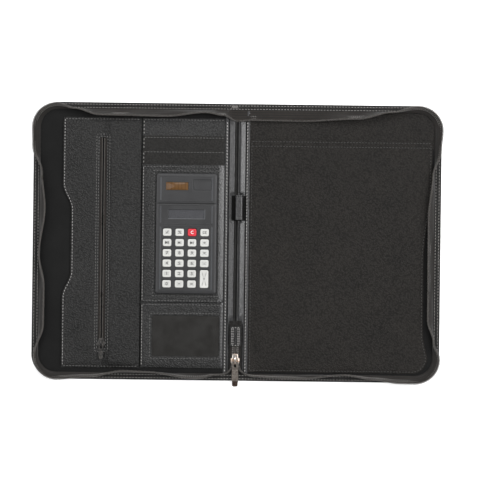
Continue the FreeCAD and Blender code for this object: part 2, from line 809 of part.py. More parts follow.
def make_front_case():
    """Face and side walls, with holes for the keys, the display and the solar cell."""
    left, right = calculator_left, calculator_right
    low, high = calculator_bottom, calculator_top
    shell = rounded(left, right, low, high, back_plate_top, face_top, calculator_corner)
    cavity = rounded(left + case_wall, right - case_wall, low + case_wall, high - case_wall,
                     back_plate_top - 1, face_under, calculator_corner - case_wall / 2)
    shell = shell.cut(cavity)
    for frame_box in (upper_frame_box, middle_frame_box, key_frame_box):
        outer = on_face(frame_box, face_top, face_top + face_line_rise)
        inner = on_face(frame_box, face_top, face_top + face_line_rise, -face_line)
        shell = shell.fuse(outer.cut(inner))
    shell = shell.cut(block(left - 1, right + 1, calculator_top - face_groove_y + face_groove,
                            calculator_top - face_groove_y - face_groove,
                            face_top - face_groove, face_top + 1))
    holes = [key_prism(x, y, height, key_hole_gap, face_under - 1, face_top + 1)
             for name, x, y, height in key_centres()]
    holes.append(on_face(display_box, face_under - 1, face_top + 1))
    holes.append(on_face(solar_box, face_under - 1, face_top + 1))
    holes.append(on_face(blank_badge_box, face_top - face_line_rise, face_top + 1))
    return shell.cut(Part.makeCompound(holes)).removeSplitter()


def make_back_case():
    """Base plate with a flange under the panel and ribs that carry the circuit board."""
    plate = rounded(calculator_left, calculator_right, calculator_bottom, calculator_top,
                    calculator_base, back_plate_top, calculator_corner)
    grow = flange_width
    flange = rounded(calculator_left - grow, calculator_right + grow, calculator_bottom - grow,
                     calculator_top + grow, calculator_base, flange_top, calculator_corner + grow)
    ribs = []
    for part in (0.2, 0.5, 0.8):
        y = calculator_bottom + calculator_height * part
        ribs.append(block(calculator_left + 8, calculator_right - 8, y - 1, y + 1,
                          back_plate_top, board_base))
    return joined(plate, flange, *ribs)


def board_margins():
    gap = case_wall + 1.0
    return (calculator_left + gap, calculator_right - gap, calculator_bottom + gap,
            calculator_top - gap)


def make_circuit_board():
    left, right, low, high = board_margins()
    return block(left, right, low, high, board_base, circuit_top)


def make_membrane():
    left, right, low, high = board_margins()
    top_key = calculator_top - first_key_y + key_height / 2 + key_flange + 1
    return block(left + 1, right - 1, low + 1, top_key, circuit_top, membrane_top)


def make_display():
    """Liquid-crystal panel under the display window."""
    return on_face(display_box, circuit_top, face_under, cell_flange)


def make_lens():
    return on_face(display_box, face_under, face_top - 0.4, -edge_fit)


def make_solar_cell():
    """Cell on the board, its upper face in the window."""
    seat = on_face(solar_box, circuit_top, face_under, cell_flange)
    return joined(seat, on_face(solar_box, face_under, face_top - 0.4, -edge_fit))


# ---------------------------------------------------------------- output
def all_nodes():
    nodes = {}
    for name, side, wave in (("front", -1, front_wave), ("back", 1, back_wave)):
        nodes[name + "_cover_skin"] = cover_skin(side)
        nodes[name + "_foam"] = cover_foam(side)
        nodes[name + "_board"] = cover_stiffener(side)
        nodes[name + "_lining"] = cover_lining(side)
        nodes[name + "_zip_stringer"] = zip_stringer(side, wave)
    nodes["spine_skin"] = make_spine_skin()
    nodes["spine_board"] = make_spine_board()
    nodes["spine_lining"] = make_spine_lining()
    nodes["spine_zip_stringers"] = make_spine_stringers()
    nodes["zip_end_tab"] = make_end_tab()
    nodes["pen_loop"] = make_pen_loop()
    nodes["main_slider"] = make_main_slider()
    nodes["main_pull"] = make_main_pull()
    nodes["pad_pocket"] = make_pad_pocket()
    nodes["document_pocket"] = make_document_pocket()
    nodes["zip_pocket_bag"] = make_zip_bag()
    nodes["pocket_zip_stringers"] = make_pocket_stringers()
    nodes["pocket_slider"] = make_pocket_slider()
    nodes["pocket_pull"] = make_pocket_pull()
    nodes["organiser_base"] = make_organiser_base()
    nodes["card_slot_upper"] = make_card_slot(card_slot_edges[0], base_top)
    nodes["card_slot_lower"] = make_card_slot(card_slot_edges[1], upper_slot_top)
    nodes["calculator_panel"] = make_calculator_panel()
    nodes["window_panel"] = make_window_panel()
    nodes["window_film"] = make_window_film()
    nodes["calculator_front_case"] = make_front_case()
    nodes["calculator_back_case"] = make_back_case()
    nodes["circuit_board"] = make_circuit_board()
    nodes["key_membrane"] = make_membrane()
    nodes["lcd_panel"] = make_display()
    nodes["display_lens"] = make_lens()
    nodes["solar_cell"] = make_solar_cell()
    for name, x, y, height in key_centres():
        nodes[name] = make_key(x, y, height)
    return nodes


os.makedirs("parts", exist_ok=True)
for node_name, node_shape in all_nodes().items():
    node_shape.exportStep("parts/" + node_name + ".step")
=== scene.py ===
"""Looks of the zipped portfolio case: skins, linings, zip, pockets, calculator, sliders."""
import json
import math

import bpy
import numpy as np
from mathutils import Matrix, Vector
from mathutils.geometry import delaunay_2d_cdt


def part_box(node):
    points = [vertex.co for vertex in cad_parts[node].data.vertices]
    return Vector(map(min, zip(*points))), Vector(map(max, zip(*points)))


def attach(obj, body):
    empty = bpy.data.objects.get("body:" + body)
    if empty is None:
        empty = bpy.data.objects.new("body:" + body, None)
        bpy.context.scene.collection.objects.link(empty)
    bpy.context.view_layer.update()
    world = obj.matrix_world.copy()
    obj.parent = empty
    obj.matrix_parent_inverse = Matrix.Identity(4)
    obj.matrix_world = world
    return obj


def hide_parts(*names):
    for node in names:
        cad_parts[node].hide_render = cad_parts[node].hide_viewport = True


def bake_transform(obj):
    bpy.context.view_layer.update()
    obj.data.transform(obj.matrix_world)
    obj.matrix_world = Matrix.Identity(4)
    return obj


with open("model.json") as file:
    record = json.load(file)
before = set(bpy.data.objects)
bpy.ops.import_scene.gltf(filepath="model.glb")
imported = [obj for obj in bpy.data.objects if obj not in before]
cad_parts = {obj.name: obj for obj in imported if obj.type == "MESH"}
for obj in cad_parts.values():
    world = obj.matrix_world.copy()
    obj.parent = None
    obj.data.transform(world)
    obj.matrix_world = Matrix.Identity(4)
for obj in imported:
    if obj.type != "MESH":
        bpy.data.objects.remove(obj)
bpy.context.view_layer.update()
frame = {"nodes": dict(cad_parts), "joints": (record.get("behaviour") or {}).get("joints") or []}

MM = 0.001


# ---------------------------------------------------------------- sizes from the frame, in mm
class Box:
    """A CAD node's box in millimetres."""

    def __init__(self, node):
        low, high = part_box(node)
        self.x0, self.y0, self.z0 = (v / MM for v in low)
        self.x1, self.y1, self.z1 = (v / MM for v in high)
        self.cx = (self.x0 + self.x1) / 2
        self.cy = (self.y0 + self.y1) / 2
        self.plan = (self.x0, self.x1, self.y0, self.y1)


joint_place = {j["name"]: j.get("pos_m") for j in frame["joints"]}
COVER = Box("back_cover_skin")
SPINE = Box("spine_skin")
LINING = Box("back_lining")
POCKET = Box("document_pocket")
COLUMN = Box("organiser_base")
CALC = Box("calculator_front_case")
PADS = Box("pad_pocket")
TAB = Box("zip_end_tab")
LOOP = Box("pen_loop")
TAPES = Box("pocket_zip_stringers")
UPPER = Box("card_slot_upper")
LOWER = Box("card_slot_lower")
FRAME = Box("calculator_panel")
WINDOW = Box("window_panel")
hinge_x = joint_place["spine_hinge"][0] / MM
outer_x = COVER.x1
half_height = COVER.y1
hem_z = COVER.z1
spine_z = SPINE.z1
lining_z = LINING.z1
corner_radius = 31.0
corner_x = outer_x - corner_radius
corner_y = half_height - corner_radius
seam_inset = 8.5             # outline to the middle of the zip tape's foot
tape_reach = 12.0            # foot of the zip tape to its free edge
coil_size = 2.2
tape_start_top = hinge_x + 4.5
tape_start_bottom = hinge_x + 8.6
# Highest place that a tape's edge may reach, so that the two halves clear each other when shut.
tip_limit = hinge_x + joint_place["spine_hinge"][2] / MM - 0.2
path_step = 3.5              # between the rows along a cover's edge
hem_step_start = 13.2        # where the spine's hem steps up to the cover's
hem_step_end = 17.0
lining_inset = 9.1
lining_start = 15.2
flat_inset = 20.6            # free edge of the tape where it crosses the spine
fold_start = 19.0            # where a cover starts to bend into the spine
fold_end = 7.0               # where the bend is over
sheet = 0.8                  # leather of the pockets
thread_sink = 0.08           # how deep the stitches lie in it
loose = 0.02                 # gap between two sheets that lie on each other

# Free edge of the zip tape: (part of the run, distance inside the outline).
front_wave = {
    "top": ((0.0, 15.0), (0.11, 11.8), (0.35, 16.8), (0.75, 15.8), (0.9, 8.5), (1.0, 3.0)),
    "side": ((0.0, 0.6), (0.09, 1.2), (0.2, 12.0), (0.36, 15.8), (0.56, 9.4), (0.7, 15.6),
             (0.87, 15.4), (1.0, 5.0)),
    "bottom": ((0.0, 1.2), (0.2, 4.5), (0.42, 11.5), (0.56, 10.6), (0.86, 4.0), (1.0, 8.0)),
}
back_wave = {
    "top": ((0.0, 20.0), (0.32, 20.3), (0.64, 17.5), (0.84, 9.3), (1.0, 2.3)),
    "side": ((0.0, 0.6), (0.09, 2.7), (0.2, 11.6), (0.38, 16.1), (0.83, 15.7), (0.93, 8.5),
             (1.0, 1.6)),
    "bottom": ((0.0, 0.6), (0.1, 0.8), (0.25, 5.0), (0.43, 9.6), (0.72, 4.8), (1.0, 6.5)),
}


# ---------------------------------------------------------------- mesh building
class Soup:
    """Vertices in millimetres and faces, gathered into one mesh."""

    def __init__(self):
        self.verts = []
        self.faces = []
        self.marks = []

    def add(self, verts, faces, mark=0):
        base = len(self.verts)
        self.verts.extend(np.asarray(verts, float).tolist())
        self.faces.extend([tuple(base + i for i in face) for face in faces])
        self.marks.extend([mark] * len(faces))
        return self

    def middles(self):
        """Middle of each face."""
        verts = np.array(self.verts)
        return [verts[list(face)].mean(axis=0) for face in self.faces]


def link(name, data):
    """A new object in the scene."""
    made = bpy.data.objects.new(name, data)
    bpy.context.scene.collection.objects.link(made)
    return made


def build(name, soup, materials, body=None, replaces=(), blend=None, sharp=45):
    """A Blender object from a soup, riding on a body, or with its placement baked in and left
    unattached when blend is given.
    """
    mesh = bpy.data.meshes.new(name)
    verts = (np.array(soup.verts) * MM).tolist()
    mesh.from_pydata(verts, [], soup.faces)
    if not isinstance(materials, (list, tuple)):
        materials = [materials]
    for material in materials:
        mesh.materials.append(material)
    mesh.polygons.foreach_set("material_index", soup.marks)
    mesh.polygons.foreach_set("use_smooth", [True] * len(mesh.polygons))
    mesh.update()
    mesh.validate()
    mesh.set_sharp_from_angle(angle=math.radians(sharp))
    piece = link(name, mesh)
    if blend:
        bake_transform(piece)
    else:
        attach(piece, body)
    if replaces:
        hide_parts(*replaces)


def loft(rings, closed=True, caps=False):
    """Quads between rings of equal length."""
    rings = np.asarray(rings, float)
    count, size = rings.shape[:2]
    faces = []
    span = size if closed else size - 1
    for i in range(count - 1):
        for j in range(span):
            k = (j + 1) % size
            faces.append((i * size + j, i * size + k, (i + 1) * size + k, (i + 1) * size + j))
    if caps:
        faces.append(tuple(range(size))[::-1])
        faces.append(tuple((count - 1) * size + j for j in range(size)))
    return rings.reshape(-1, 3), faces


def unit(vectors):
    length = np.linalg.norm(vectors, axis=-1, keepdims=True)
    return vectors / np.maximum(length, 1e-9)


def tube(path, radius, sides=6):
    """A round cord along a polyline, with its frame carried along."""
    path = np.asarray(path, float)
    tangents = unit(np.gradient(path, axis=0))
    up = np.array([0.0, 0.0, 1.0])
    if abs(tangents[0] @ up) > 0.9:
        up = np.array([0.0, 1.0, 0.0])
    normal = unit(np.cross(tangents[0], np.cross(up, tangents[0])))
    angles = np.arange(sides) / sides * 2 * math.pi
    radii = np.broadcast_to(radius, len(path))
    rings = []
    for point, tangent, r in zip(path, tangents, radii):
        normal = unit(normal - tangent * (normal @ tangent))
        side = np.cross(tangent, normal)
        rings.append(point + r * (np.outer(np.cos(angles), side)
                                  + np.outer(np.sin(angles), normal)))
    return loft(rings, caps=True)


def run_of(points):
    """Distance along a polyline at each of its points."""
    steps = np.linalg.norm(np.diff(points, axis=0), axis=1)
    return np.concatenate([[0], np.cumsum(steps)])


def read_at(places, along, points):
    """Values of a polyline at distances along it."""
    return np.column_stack([np.interp(places, along, points[:, k]) for k in range(3)])


def resample(points, pitch):
    """Even points along a polyline, and their directions."""
    points = np.asarray(points, float)
    along = run_of(points)
    count = max(int(along[-1] / pitch), 1)
    places = (np.arange(count) + 0.5) * along[-1] / count
    index = np.clip(np.searchsorted(along, places) - 1, 0, len(points) - 2)
    return read_at(places, along, points), unit(np.diff(points, axis=0)[index])


def stitch_run(soup, points, pitch=3.8, length=2.7, radius=0.36, slant=0.0, mark=0, ups=None,
               hole_shade_mark=None):
    """Sewn stitches: short threads that dip into the surface, with near-black discs between them as
    painted shade of the needle holes.
    """
    points = np.asarray(points, float)
    centres, directions = resample(points, pitch)
    if ups is None:
        ups = np.tile((0.0, 0.0, 1.0), (len(points), 1))
    nearest = ((centres[:, None] - points[None]) ** 2).sum(2).argmin(1)
    ups = np.asarray(ups)[nearest]
    sides = unit(np.cross(directions, ups))
    turn = math.radians(slant)
    threads = directions * math.cos(turn) + sides * math.sin(turn)
    sides = unit(np.cross(threads, ups))
    profile = ((-0.5, 0.4, -0.5), (-0.3, 0.95, 0.2), (0.3, 0.95, 0.2), (0.5, 0.4, -0.5))
    angles = np.arange(6) / 6 * 2 * math.pi
    for centre, run, direction, side, up in zip(centres, directions, threads, sides, ups):
        rings = [centre + direction * length * u + up * radius * lift
                 + radius * thick * (np.outer(np.cos(angles), side) + np.outer(np.sin(angles), up))
                 for u, thick, lift in profile]
        soup.add(*loft(rings, caps=True), mark)
        # A near-black disc between stitches: painted shade of the needle hole.
        if hole_shade_mark is not None:
            middle = centre + run * pitch / 2
            rim = [middle + up * h + r * (np.outer(np.cos(angles), run)
                                          + np.outer(np.sin(angles), side))
                   for h, r in ((-0.2, 0.62), (0.13, 0.55))]
            soup.add(*loft(rim, caps=True), hole_shade_mark)


def sew(soup, points, top, **style):
    """Stitches along a line on a sheet, with dark discs between them as painted shade of the needle
    holes. top is the sheet's height function.
    """
    points = np.array(points, float)
    line = np.column_stack([points, top(points[:, 0], points[:, 1]) - thread_sink])
    stitch_run(soup, line, hole_shade_mark=1, **style)


def ripple(x, y, size, seed):
    """Smooth aperiodic waves between about -1 and 1."""
    dice = np.random.default_rng(seed)
    total = 0
    for _ in range(5):
        angle = dice.uniform(0, 2 * math.pi)
        wave = size * dice.uniform(0.6, 1.7)
        phase = dice.uniform(0, 2 * math.pi)
        total = total + np.sin((x * math.cos(angle) + y * math.sin(angle)) * 2 * math.pi / wave
                               + phase)
    return total / 3.2


def ease(low, high, value):
    """Smooth step from 0 at low to 1 at high."""
    t = np.clip((np.asarray(value, float) - low) / (high - low), 0, 1)
    return t * t * (3 - 2 * t)


def hump(value, width):
    """1 at 0, falling smoothly to nothing at about twice the width."""
    return np.exp(-(value / width) ** 2)


# ---------------------------------------------------------------- flat outlines
def arc(cx, cy, r, start, stop, count=8):
    angles = np.radians(np.linspace(start, stop, count))
    return [(cx + r * math.cos(a), cy + r * math.sin(a)) for a in angles]


def dense(points, step=2.5, closed=True):
    """Extra points along the sides of a polygon."""
    result = []
    last = len(points) if closed else len(points) - 1
    for i in range(last):
        a = np.array(points[i])
        b = np.array(points[(i + 1) % len(points)])
        count = max(int(np.linalg.norm(b - a) / step), 1)
        result += [tuple(a + (b - a) * k / count) for k in range(count)]
    if not closed:
        result.append(tuple(points[-1]))
    return result


def open_line(points, step=2.5):
    return dense(points, step, closed=False)


def rounded_rect(x0, x1, y0, y1, r, step=2.5, turn=7):
    """Anticlockwise outline with rounded corners."""
    corners = (arc(x1 - r, y1 - r, r, 0, 90, turn) + arc(x0 + r, y1 - r, r, 90, 180, turn)
               + arc(x0 + r, y0 + r, r, 180, 270, turn) + arc(x1 - r, y0 + r, r, 270, 360, turn))
    return dense(corners, step)


def grown(box, margin):
    """A box (x0, x1, y0, y1) with a margin added on all sides, or taken off."""
    x0, x1, y0, y1 = box
    return x0 - margin, x1 + margin, y0 - margin, y1 + margin


def softened(ring, times):
    """A closed outline with its corners rubbed off."""
    ring = np.array(ring)
    for _ in range(times):
        ring = (np.roll(ring, 1, axis=0) + 2 * ring + np.roll(ring, -1, axis=0)) / 4
    return ring


def at_height(ring, z):
    return np.column_stack([ring, np.full(len(ring), z)])


def segments(loops):
    starts = np.concatenate([np.array(loop) for loop in loops])
    ends = np.concatenate([np.roll(np.array(loop), -1, axis=0) for loop in loops])
    return starts, ends


def edge_distance(points, loops):
    """Distance of each point to the nearest outline."""
    a, b = segments(loops)
    ab = b - a
    square = np.maximum((ab ** 2).sum(1), 1e-12)
    result = np.empty(len(points))
    for i in range(0, len(points), 1500):
        p = points[i:i + 1500, None, :]
        t = np.clip(((p - a) * ab).sum(2) / square, 0, 1)
        result[i:i + 1500] = np.sqrt(((p - a - t[..., None] * ab) ** 2).sum(2)).min(1)
    return result


def inside(points, loops):
    """Even-odd test against all outlines."""
    a, b = segments(loops)
    result = np.empty(len(points), bool)
    for i in range(0, len(points), 1500):
        x = points[i:i + 1500, 0, None]
        y = points[i:i + 1500, 1, None]
        crosses = (a[:, 1] > y) != (b[:, 1] > y)
        rise = b[:, 1] - a[:, 1]
        rise = np.where(np.abs(rise) < 1e-12, 1e-12, rise)
        reach = a[:, 0] + (y - a[:, 1]) / rise * (b[:, 0] - a[:, 0])
        result[i:i + 1500] = (crosses & (x < reach)).sum(1) % 2 == 1
    return result


def grid_inside(xs, ys, loops, gap):
    """Grid points inside the outlines, and at least a gap away from them."""
    gx, gy = np.meshgrid(xs, ys)
    grid = np.column_stack([gx.ravel(), gy.ravel()])
    grid = grid[inside(grid, loops)]
    return grid[edge_distance(grid, loops) > gap]


def triangulate(points, loops):
    """Triangles over the points, kept inside the outlines. The outlines come first."""
    edges = []
    base = 0
    for loop in loops:
        n = len(loop)
        edges += [(base + i, base + (i + 1) % n) for i in range(n)]
        base += n
    verts, _, faces, *_ = delaunay_2d_cdt([tuple(p) for p in points], edges, [], 0, 1e-6)
    verts = np.array([(v[0], v[1]) for v in verts])
    faces = np.array([f for f in faces if len(f) == 3])
    centres = verts[faces].mean(axis=1)
    faces = faces[inside(centres, loops)]
    a, b, c = verts[faces[:, 0]], verts[faces[:, 1]], verts[faces[:, 2]]
    area = (b[:, 0] - a[:, 0]) * (c[:, 1] - a[:, 1]) - (b[:, 1] - a[:, 1]) * (c[:, 0] - a[:, 0])
    faces[area < 0] = faces[area < 0][:, ::-1]
    return verts, faces


def inward(loop, distance, flip=1):
    """The outline moved inwards along its normals."""
    loop = np.array(loop)
    ahead = np.roll(loop, -1, axis=0) - np.roll(loop, 1, axis=0)
    normal = unit(np.column_stack([-ahead[:, 1], ahead[:, 0]])) * flip
    return loop + normal * distance


def turning(loop):
    """1 for an anticlockwise outline, -1 for a clockwise one."""
    p = np.array(loop)
    q = np.roll(p, -1, axis=0)
    return 1 if (p[:, 0] * q[:, 1] - q[:, 0] * p[:, 1]).sum() > 0 else -1


def panel(soup, outline, holes, top, under, roll, step):
    """A closed sheet with rolled edges. top and under are height functions of x and y."""
    loops = [list(outline)] + [list(hole) for hole in holes]
    points = [np.array(loop) for loop in loops]
    rings = []
    for index, loop in enumerate(loops):
        flip = turning(loop) * (1 if index == 0 else -1)
        for distance in (0.12 * roll, 0.45 * roll, roll, roll + 0.45 * step):
            moved = inward(loop, distance, flip)
            far = edge_distance(moved, loops) > 0.93 * distance
            rings.append(moved[far & inside(moved, loops)])
    x0, y0 = points[0].min(0)
    x1, y1 = points[0].max(0)
    grid = grid_inside(np.arange(x0 + step / 2, x1, step), np.arange(y0 + step / 2, y1, step),
                       loops, roll + 0.8 * step)
    verts, faces = triangulate(np.concatenate(points + rings + [grid]), loops)
    short = np.clip(1 - edge_distance(verts, loops) / roll, 0, 1)
    heights = top(verts[:, 0], verts[:, 1]) - roll * (1 - np.sqrt(1 - short ** 2))
    floor_at = under(verts[:, 0], verts[:, 1])
    heights = np.maximum(heights, floor_at + 0.05)
    soup.add(np.column_stack([verts, heights]), faces.tolist())
    soup.add(np.column_stack([verts, floor_at]), faces[:, ::-1].tolist())
    base = 0
    size = len(verts)
    start = len(soup.verts) - 2 * size
    for loop in loops:
        n = len(loop)
        ids = [start + base + i for i in range(n)]
        for i in range(n):
            a, b = ids[i], ids[(i + 1) % n]
            soup.faces.append((a, b, b + size, a + size))
            soup.marks.append(0)
        base += n


def stack(soup, outline, levels, mark=0):
    """A closed form from one outline, moved inwards at each level: (distance, height)."""
    outline = np.array(outline)
    flip = turning(outline)
    rings = [at_height(inward(outline, distance, flip), height) for distance, height in levels]
    verts, faces = loft(rings)
    size = len(outline)
    last = (len(rings) - 1) * size
    verts = np.concatenate([verts, [rings[-1].mean(axis=0)]])
    faces += [(last + j, last + (j + 1) % size, len(verts) - 1) for j in range(size)]
    faces.append(tuple(range(size))[::-1])
    soup.add(verts, faces, mark)


def grid_sheet(gx, gy, top, bottom):
    """A closed sheet over a grid of x and y."""
    over = np.stack([gx, gy, top], axis=-1)
    below = np.stack([gx, gy, bottom], axis=-1)[::-1]
    return Soup().add(*loft(np.concatenate([over, below, over[:1]]), closed=False))


def sewn_down(full, sewn, foot):
    """Heights of a pocket's top and underside. sewn is 0 where it is sewn down, 1 elsewhere."""
    def top(x, y):
        low = lining_z + foot
        return low + (full(x, y) - low) * sewn(x, y)

    def under(x, y):
        low = lining_z + loose
        return low + (top(x, y) - sheet - low) * sewn(x, y)

    return top, under


# ---------------------------------------------------------------- materials
class Look:
    """A material with its principled shader, and short ways to add nodes to it."""

    def __init__(self, name, colour, roughness, metallic=0.0, specular=0.5, coat=0.0, sheen=0.0):
        self.material = bpy.data.materials.new(name)
        self.material.use_nodes = True
        self.tree = self.material.node_tree
        self.shader = self.tree.nodes["Principled BSDF"]
        values = {"Base Color": (*colour, 1), "Roughness": roughness, "Metallic": metallic,
                  "Specular IOR Level": specular, "Coat Weight": coat, "Coat Roughness": 0.2,
                  "Sheen Weight": sheen}
        for socket, value in values.items():
            self.shader.inputs[socket].default_value = value

    def drive(self, socket, output):
        """Let a node's output drive one of the shader's inputs."""
        self.tree.links.new(output, self.shader.inputs[socket])

    def node(self, kind, *links, **values):
        """A new node. links are pairs of one of its inputs and the output that feeds it."""
        made = self.tree.nodes.new("ShaderNode" + kind)
        for key, value in values.items():
            if key in made.inputs:
                made.inputs[key].default_value = value
            else:
                setattr(made, key, value)
        for socket, output in links:
            self.tree.links.new(output, made.inputs[socket])
        return made

    def space(self, scale=(1, 1, 1), turn=0.0):
        place = self.node("TexCoord").outputs["Object"]
        return self.node("Mapping", ("Vector", place), Scale=scale,
                         Rotation=(0, 0, turn)).outputs["Vector"]

    def noise(self, vector, size_mm, detail=3.0, rough=0.55):
        return self.node("TexNoise", ("Vector", vector), Scale=1 / (size_mm * MM), Detail=detail,
                         Roughness=rough).outputs["Fac"]

    def wave(self, vector, size_mm, direction="X", **values):
        """Bands of the given width. 0.16 turns Blender's scale into one over the width."""
        return self.node("TexWave", ("Vector", vector), Scale=0.16 / (size_mm * MM),
                         bands_direction=direction, **values).outputs["Fac"]

    def combine(self, kind, first, second):
        """A math node over two outputs or numbers."""
        made = self.node("Math", operation=kind)
        for socket, value in zip(made.inputs, (first, second)):
            if isinstance(value, (int, float)):
                socket.default_value = value
            else:
                self.tree.links.new(value, socket)
        return made.outputs[0]

    def spread(self, factor, low, high, from_low=0.3, from_high=0.7):
        """The factor mapped to a range."""
        values = {"From Min": from_low, "From Max": from_high, "To Min": low, "To Max": high}
        return self.node("MapRange", ("Value", factor), **values).outputs["Result"]

    def tones(self, factor, first, second):
        """Base colour between two tones."""
        made = self.node("Mix", (0, factor), data_type="RGBA")
        made.inputs[6].default_value = (*first, 1)
        made.inputs[7].default_value = (*second, 1)
        self.drive("Base Color", made.outputs[2])

    def bump(self, height, strength, depth_mm):
        made = self.node("Bump", ("Height", height), Strength=strength, Distance=depth_mm * MM)
        self.drive("Normal", made.outputs["Normal"])


def scaled(colour, factor):
    return tuple(c * factor for c in colour)


def leather(name, colour, roughness, cell=2.4, depth=0.35, coat=0.0, highlight_and_patch_tone=1.25, specular=0.4,
            contrast=0.55):
    """Embossed faux leather: pebbled cells, pores, painted shade in the creases and painted
    highlight on the domes, uneven gloss, rubbed patches.
    """
    look = Look(name, colour, roughness, coat=coat, specular=specular)
    space = look.space()
    warp = look.node("TexNoise", ("Vector", space), Scale=1 / (3.0 * MM), Detail=2.0)
    shifted = look.node("Mix", (4, space), (5, warp.outputs["Color"]), data_type="VECTOR")
    shifted.inputs[0].default_value = 0.0012
    cells = look.node("TexVoronoi", ("Vector", shifted.outputs[1]), Scale=1 / (cell * MM),
                      Randomness=0.95).outputs["Distance"]
    pores = look.noise(space, 0.9)
    domes = look.combine("SUBTRACT", 1.0, cells)
    look.bump(look.combine("ADD", domes, look.combine("MULTIPLY", pores, 0.5)), 0.9, depth)
    patches = look.noise(space, 42.0, detail=5.0)
    # Base colour darker in the creases between cells and lighter on their domes: painted shade and
    # painted highlight.
    painted_grain_shading = look.combine("MULTIPLY", look.spread(cells, 1.0, 0.0, 0.15, 0.75), 0.65)
    mixed = look.combine("ADD", look.spread(patches, 0.0, 0.35), painted_grain_shading)
    look.tones(mixed, scaled(colour, contrast), scaled(colour, highlight_and_patch_tone * 1.25))
    gloss = look.spread(cells, roughness - 0.05, roughness + 0.15, 0.1, 0.7)
    look.drive("Roughness", look.combine("ADD", look.spread(patches, -0.05, 0.05), gloss))
    return look.material


def cloth(name, colour, thread=0.62, depth=0.12, sheen=0.25, tint=1.35):
    """Plain weave: two crossed sets of threads, slubs and a faint fuzz."""
    look = Look(name, colour, 0.85, specular=0.12, sheen=sheen)
    look.shader.inputs["Sheen Roughness"].default_value = 0.6
    space = look.space()
    threads = [look.wave(space, thread, direction, Distortion=0.9, Detail=1.0,
                         **{"Detail Scale": 0.6}) for direction in "XY"]
    weave = look.combine("MAXIMUM", *threads)
    fuzz = look.noise(space, 0.8, detail=4.0)
    look.bump(look.combine("ADD", weave, look.combine("MULTIPLY", fuzz, 0.8)), 0.7, depth)
    clouds = look.spread(look.noise(space, 24.0, detail=5.0), 0.0, 0.6)
    mixed = look.combine("ADD", clouds, look.spread(fuzz, 0.0, 0.5, 0.35, 0.75))
    look.tones(mixed, colour, scaled(colour, tint))
    return look.material


def moulded(name, colour, roughness=0.4, tint=1.15):
    """Injection-moulded plastic with a fine spark-eroded texture."""
    look = Look(name, colour, roughness)
    space = look.space()
    look.bump(look.noise(space, 0.35, detail=2.0), 0.4, 0.03)
    handled = look.noise(space, 18.0)
    look.drive("Roughness", look.spread(handled, roughness - 0.06, roughness + 0.08))
    look.tones(look.spread(handled, 0, 1), colour, scaled(colour, tint))
    return look.material


def plated(name, colour, second, roughness, size_mm=3.0, metallic=1.0):
    """Worn plating: two metal tones in patches, with fine scratches."""
    look = Look(name, colour, roughness, metallic=metallic)
    worn = look.noise(look.space(), size_mm, detail=4.0, rough=0.65)
    look.tones(look.spread(worn, 0, 1, 0.42, 0.6), colour, second)
    look.bump(look.noise(look.space(scale=(1, 0.12, 1)), 0.25, detail=2.0), 0.35, 0.03)
    look.drive("Roughness", look.spread(worn, roughness - 0.08, roughness + 0.12))
    return look.material


def thread(name, colour):
    """Twisted sewing thread."""
    look = Look(name, colour, 0.55, sheen=0.3)
    space = look.space(turn=0.8)
    look.bump(look.wave(space, 0.3, Distortion=0.4), 0.6, 0.05)
    look.tones(look.noise(space, 5.0), colour, scaled(colour, 1.5))
    return look.material


def clear(name, colour, roughness, cover, specular):
    """Clear sheet with a few smears. cover is how much of what lies below it hides."""
    look = Look(name, colour, roughness, specular=specular)
    look.shader.inputs["Alpha"].default_value = cover
    smears = look.noise(look.space(), 14.0, detail=4.0)
    look.drive("Roughness", look.spread(smears, roughness, roughness + 0.15))
    return look.material


def solar(name):
    """Amorphous solar cell: amber strips divided by fine dark lines."""
    look = Look(name, (0.2, 0.1, 0.04), 0.35, specular=0.3)
    lines = look.spread(look.wave(look.space(), 2.2), 0.0, 1.0, 0.02, 0.28)
    look.tones(lines, (0.08, 0.037, 0.011), (0.11, 0.053, 0.016))
    return look.material


SKIN = leather("outer_faux_leather", (0.0105, 0.010, 0.0095), 0.47, depth=0.5, highlight_and_patch_tone=1.4,
               specular=0.22, contrast=0.35)
PU = leather("inner_faux_leather", (0.0135, 0.0134, 0.0133), 0.37, cell=2.1, depth=0.9,
             highlight_and_patch_tone=1.5, specular=0.34, contrast=0.25)
# Darker, duller leather of the card slots, also used as painted shade in the spine's valley and
# round the zip's tail.
PU_DULL_AND_SHADE = leather("card_slot_and_shade_faux_leather", (0.0105, 0.0098, 0.0088), 0.46, cell=2.0, depth=0.4,
                  specular=0.22, contrast=0.4)
# Glossy leather, lighter than the rest: real gloss, and painted highlight on the spine's ridges,
# the column's right margins and the pen loop.
PU_GLOSS_AND_HIGHLIGHT = leather("glossy_highlight_faux_leather", (0.018, 0.018, 0.019), 0.30, cell=2.4, depth=0.4,
                   coat=0.35, highlight_and_patch_tone=1.3, specular=0.55, contrast=0.4)
# Near-black leather: painted shade in creases, along gaps and under the window.
PU_PAINTED_SHADE = leather("shaded_faux_leather", (0.004, 0.004, 0.004), 0.6, depth=0.15,
                    specular=0.1)
PANEL = leather("panel_faux_leather", (0.0125, 0.0123, 0.012), 0.4, cell=2.1, depth=1.0,
                specular=0.28, contrast=0.2, highlight_and_patch_tone=1.5)
PAD = leather("pad_faux_leather", (0.0143, 0.0128, 0.0114), 0.55, cell=1.9, depth=0.8,
              highlight_and_patch_tone=1.3, specular=0.18, contrast=0.4)
LINING_CLOTH = cloth("lining_cloth", (0.0065, 0.0065, 0.0065), tint=1.6, sheen=0.03)
TAPE = cloth("zip_tape_cloth", (0.0155, 0.0134, 0.012), thread=0.8, depth=0.25, tint=2.0,
             sheen=0.06)
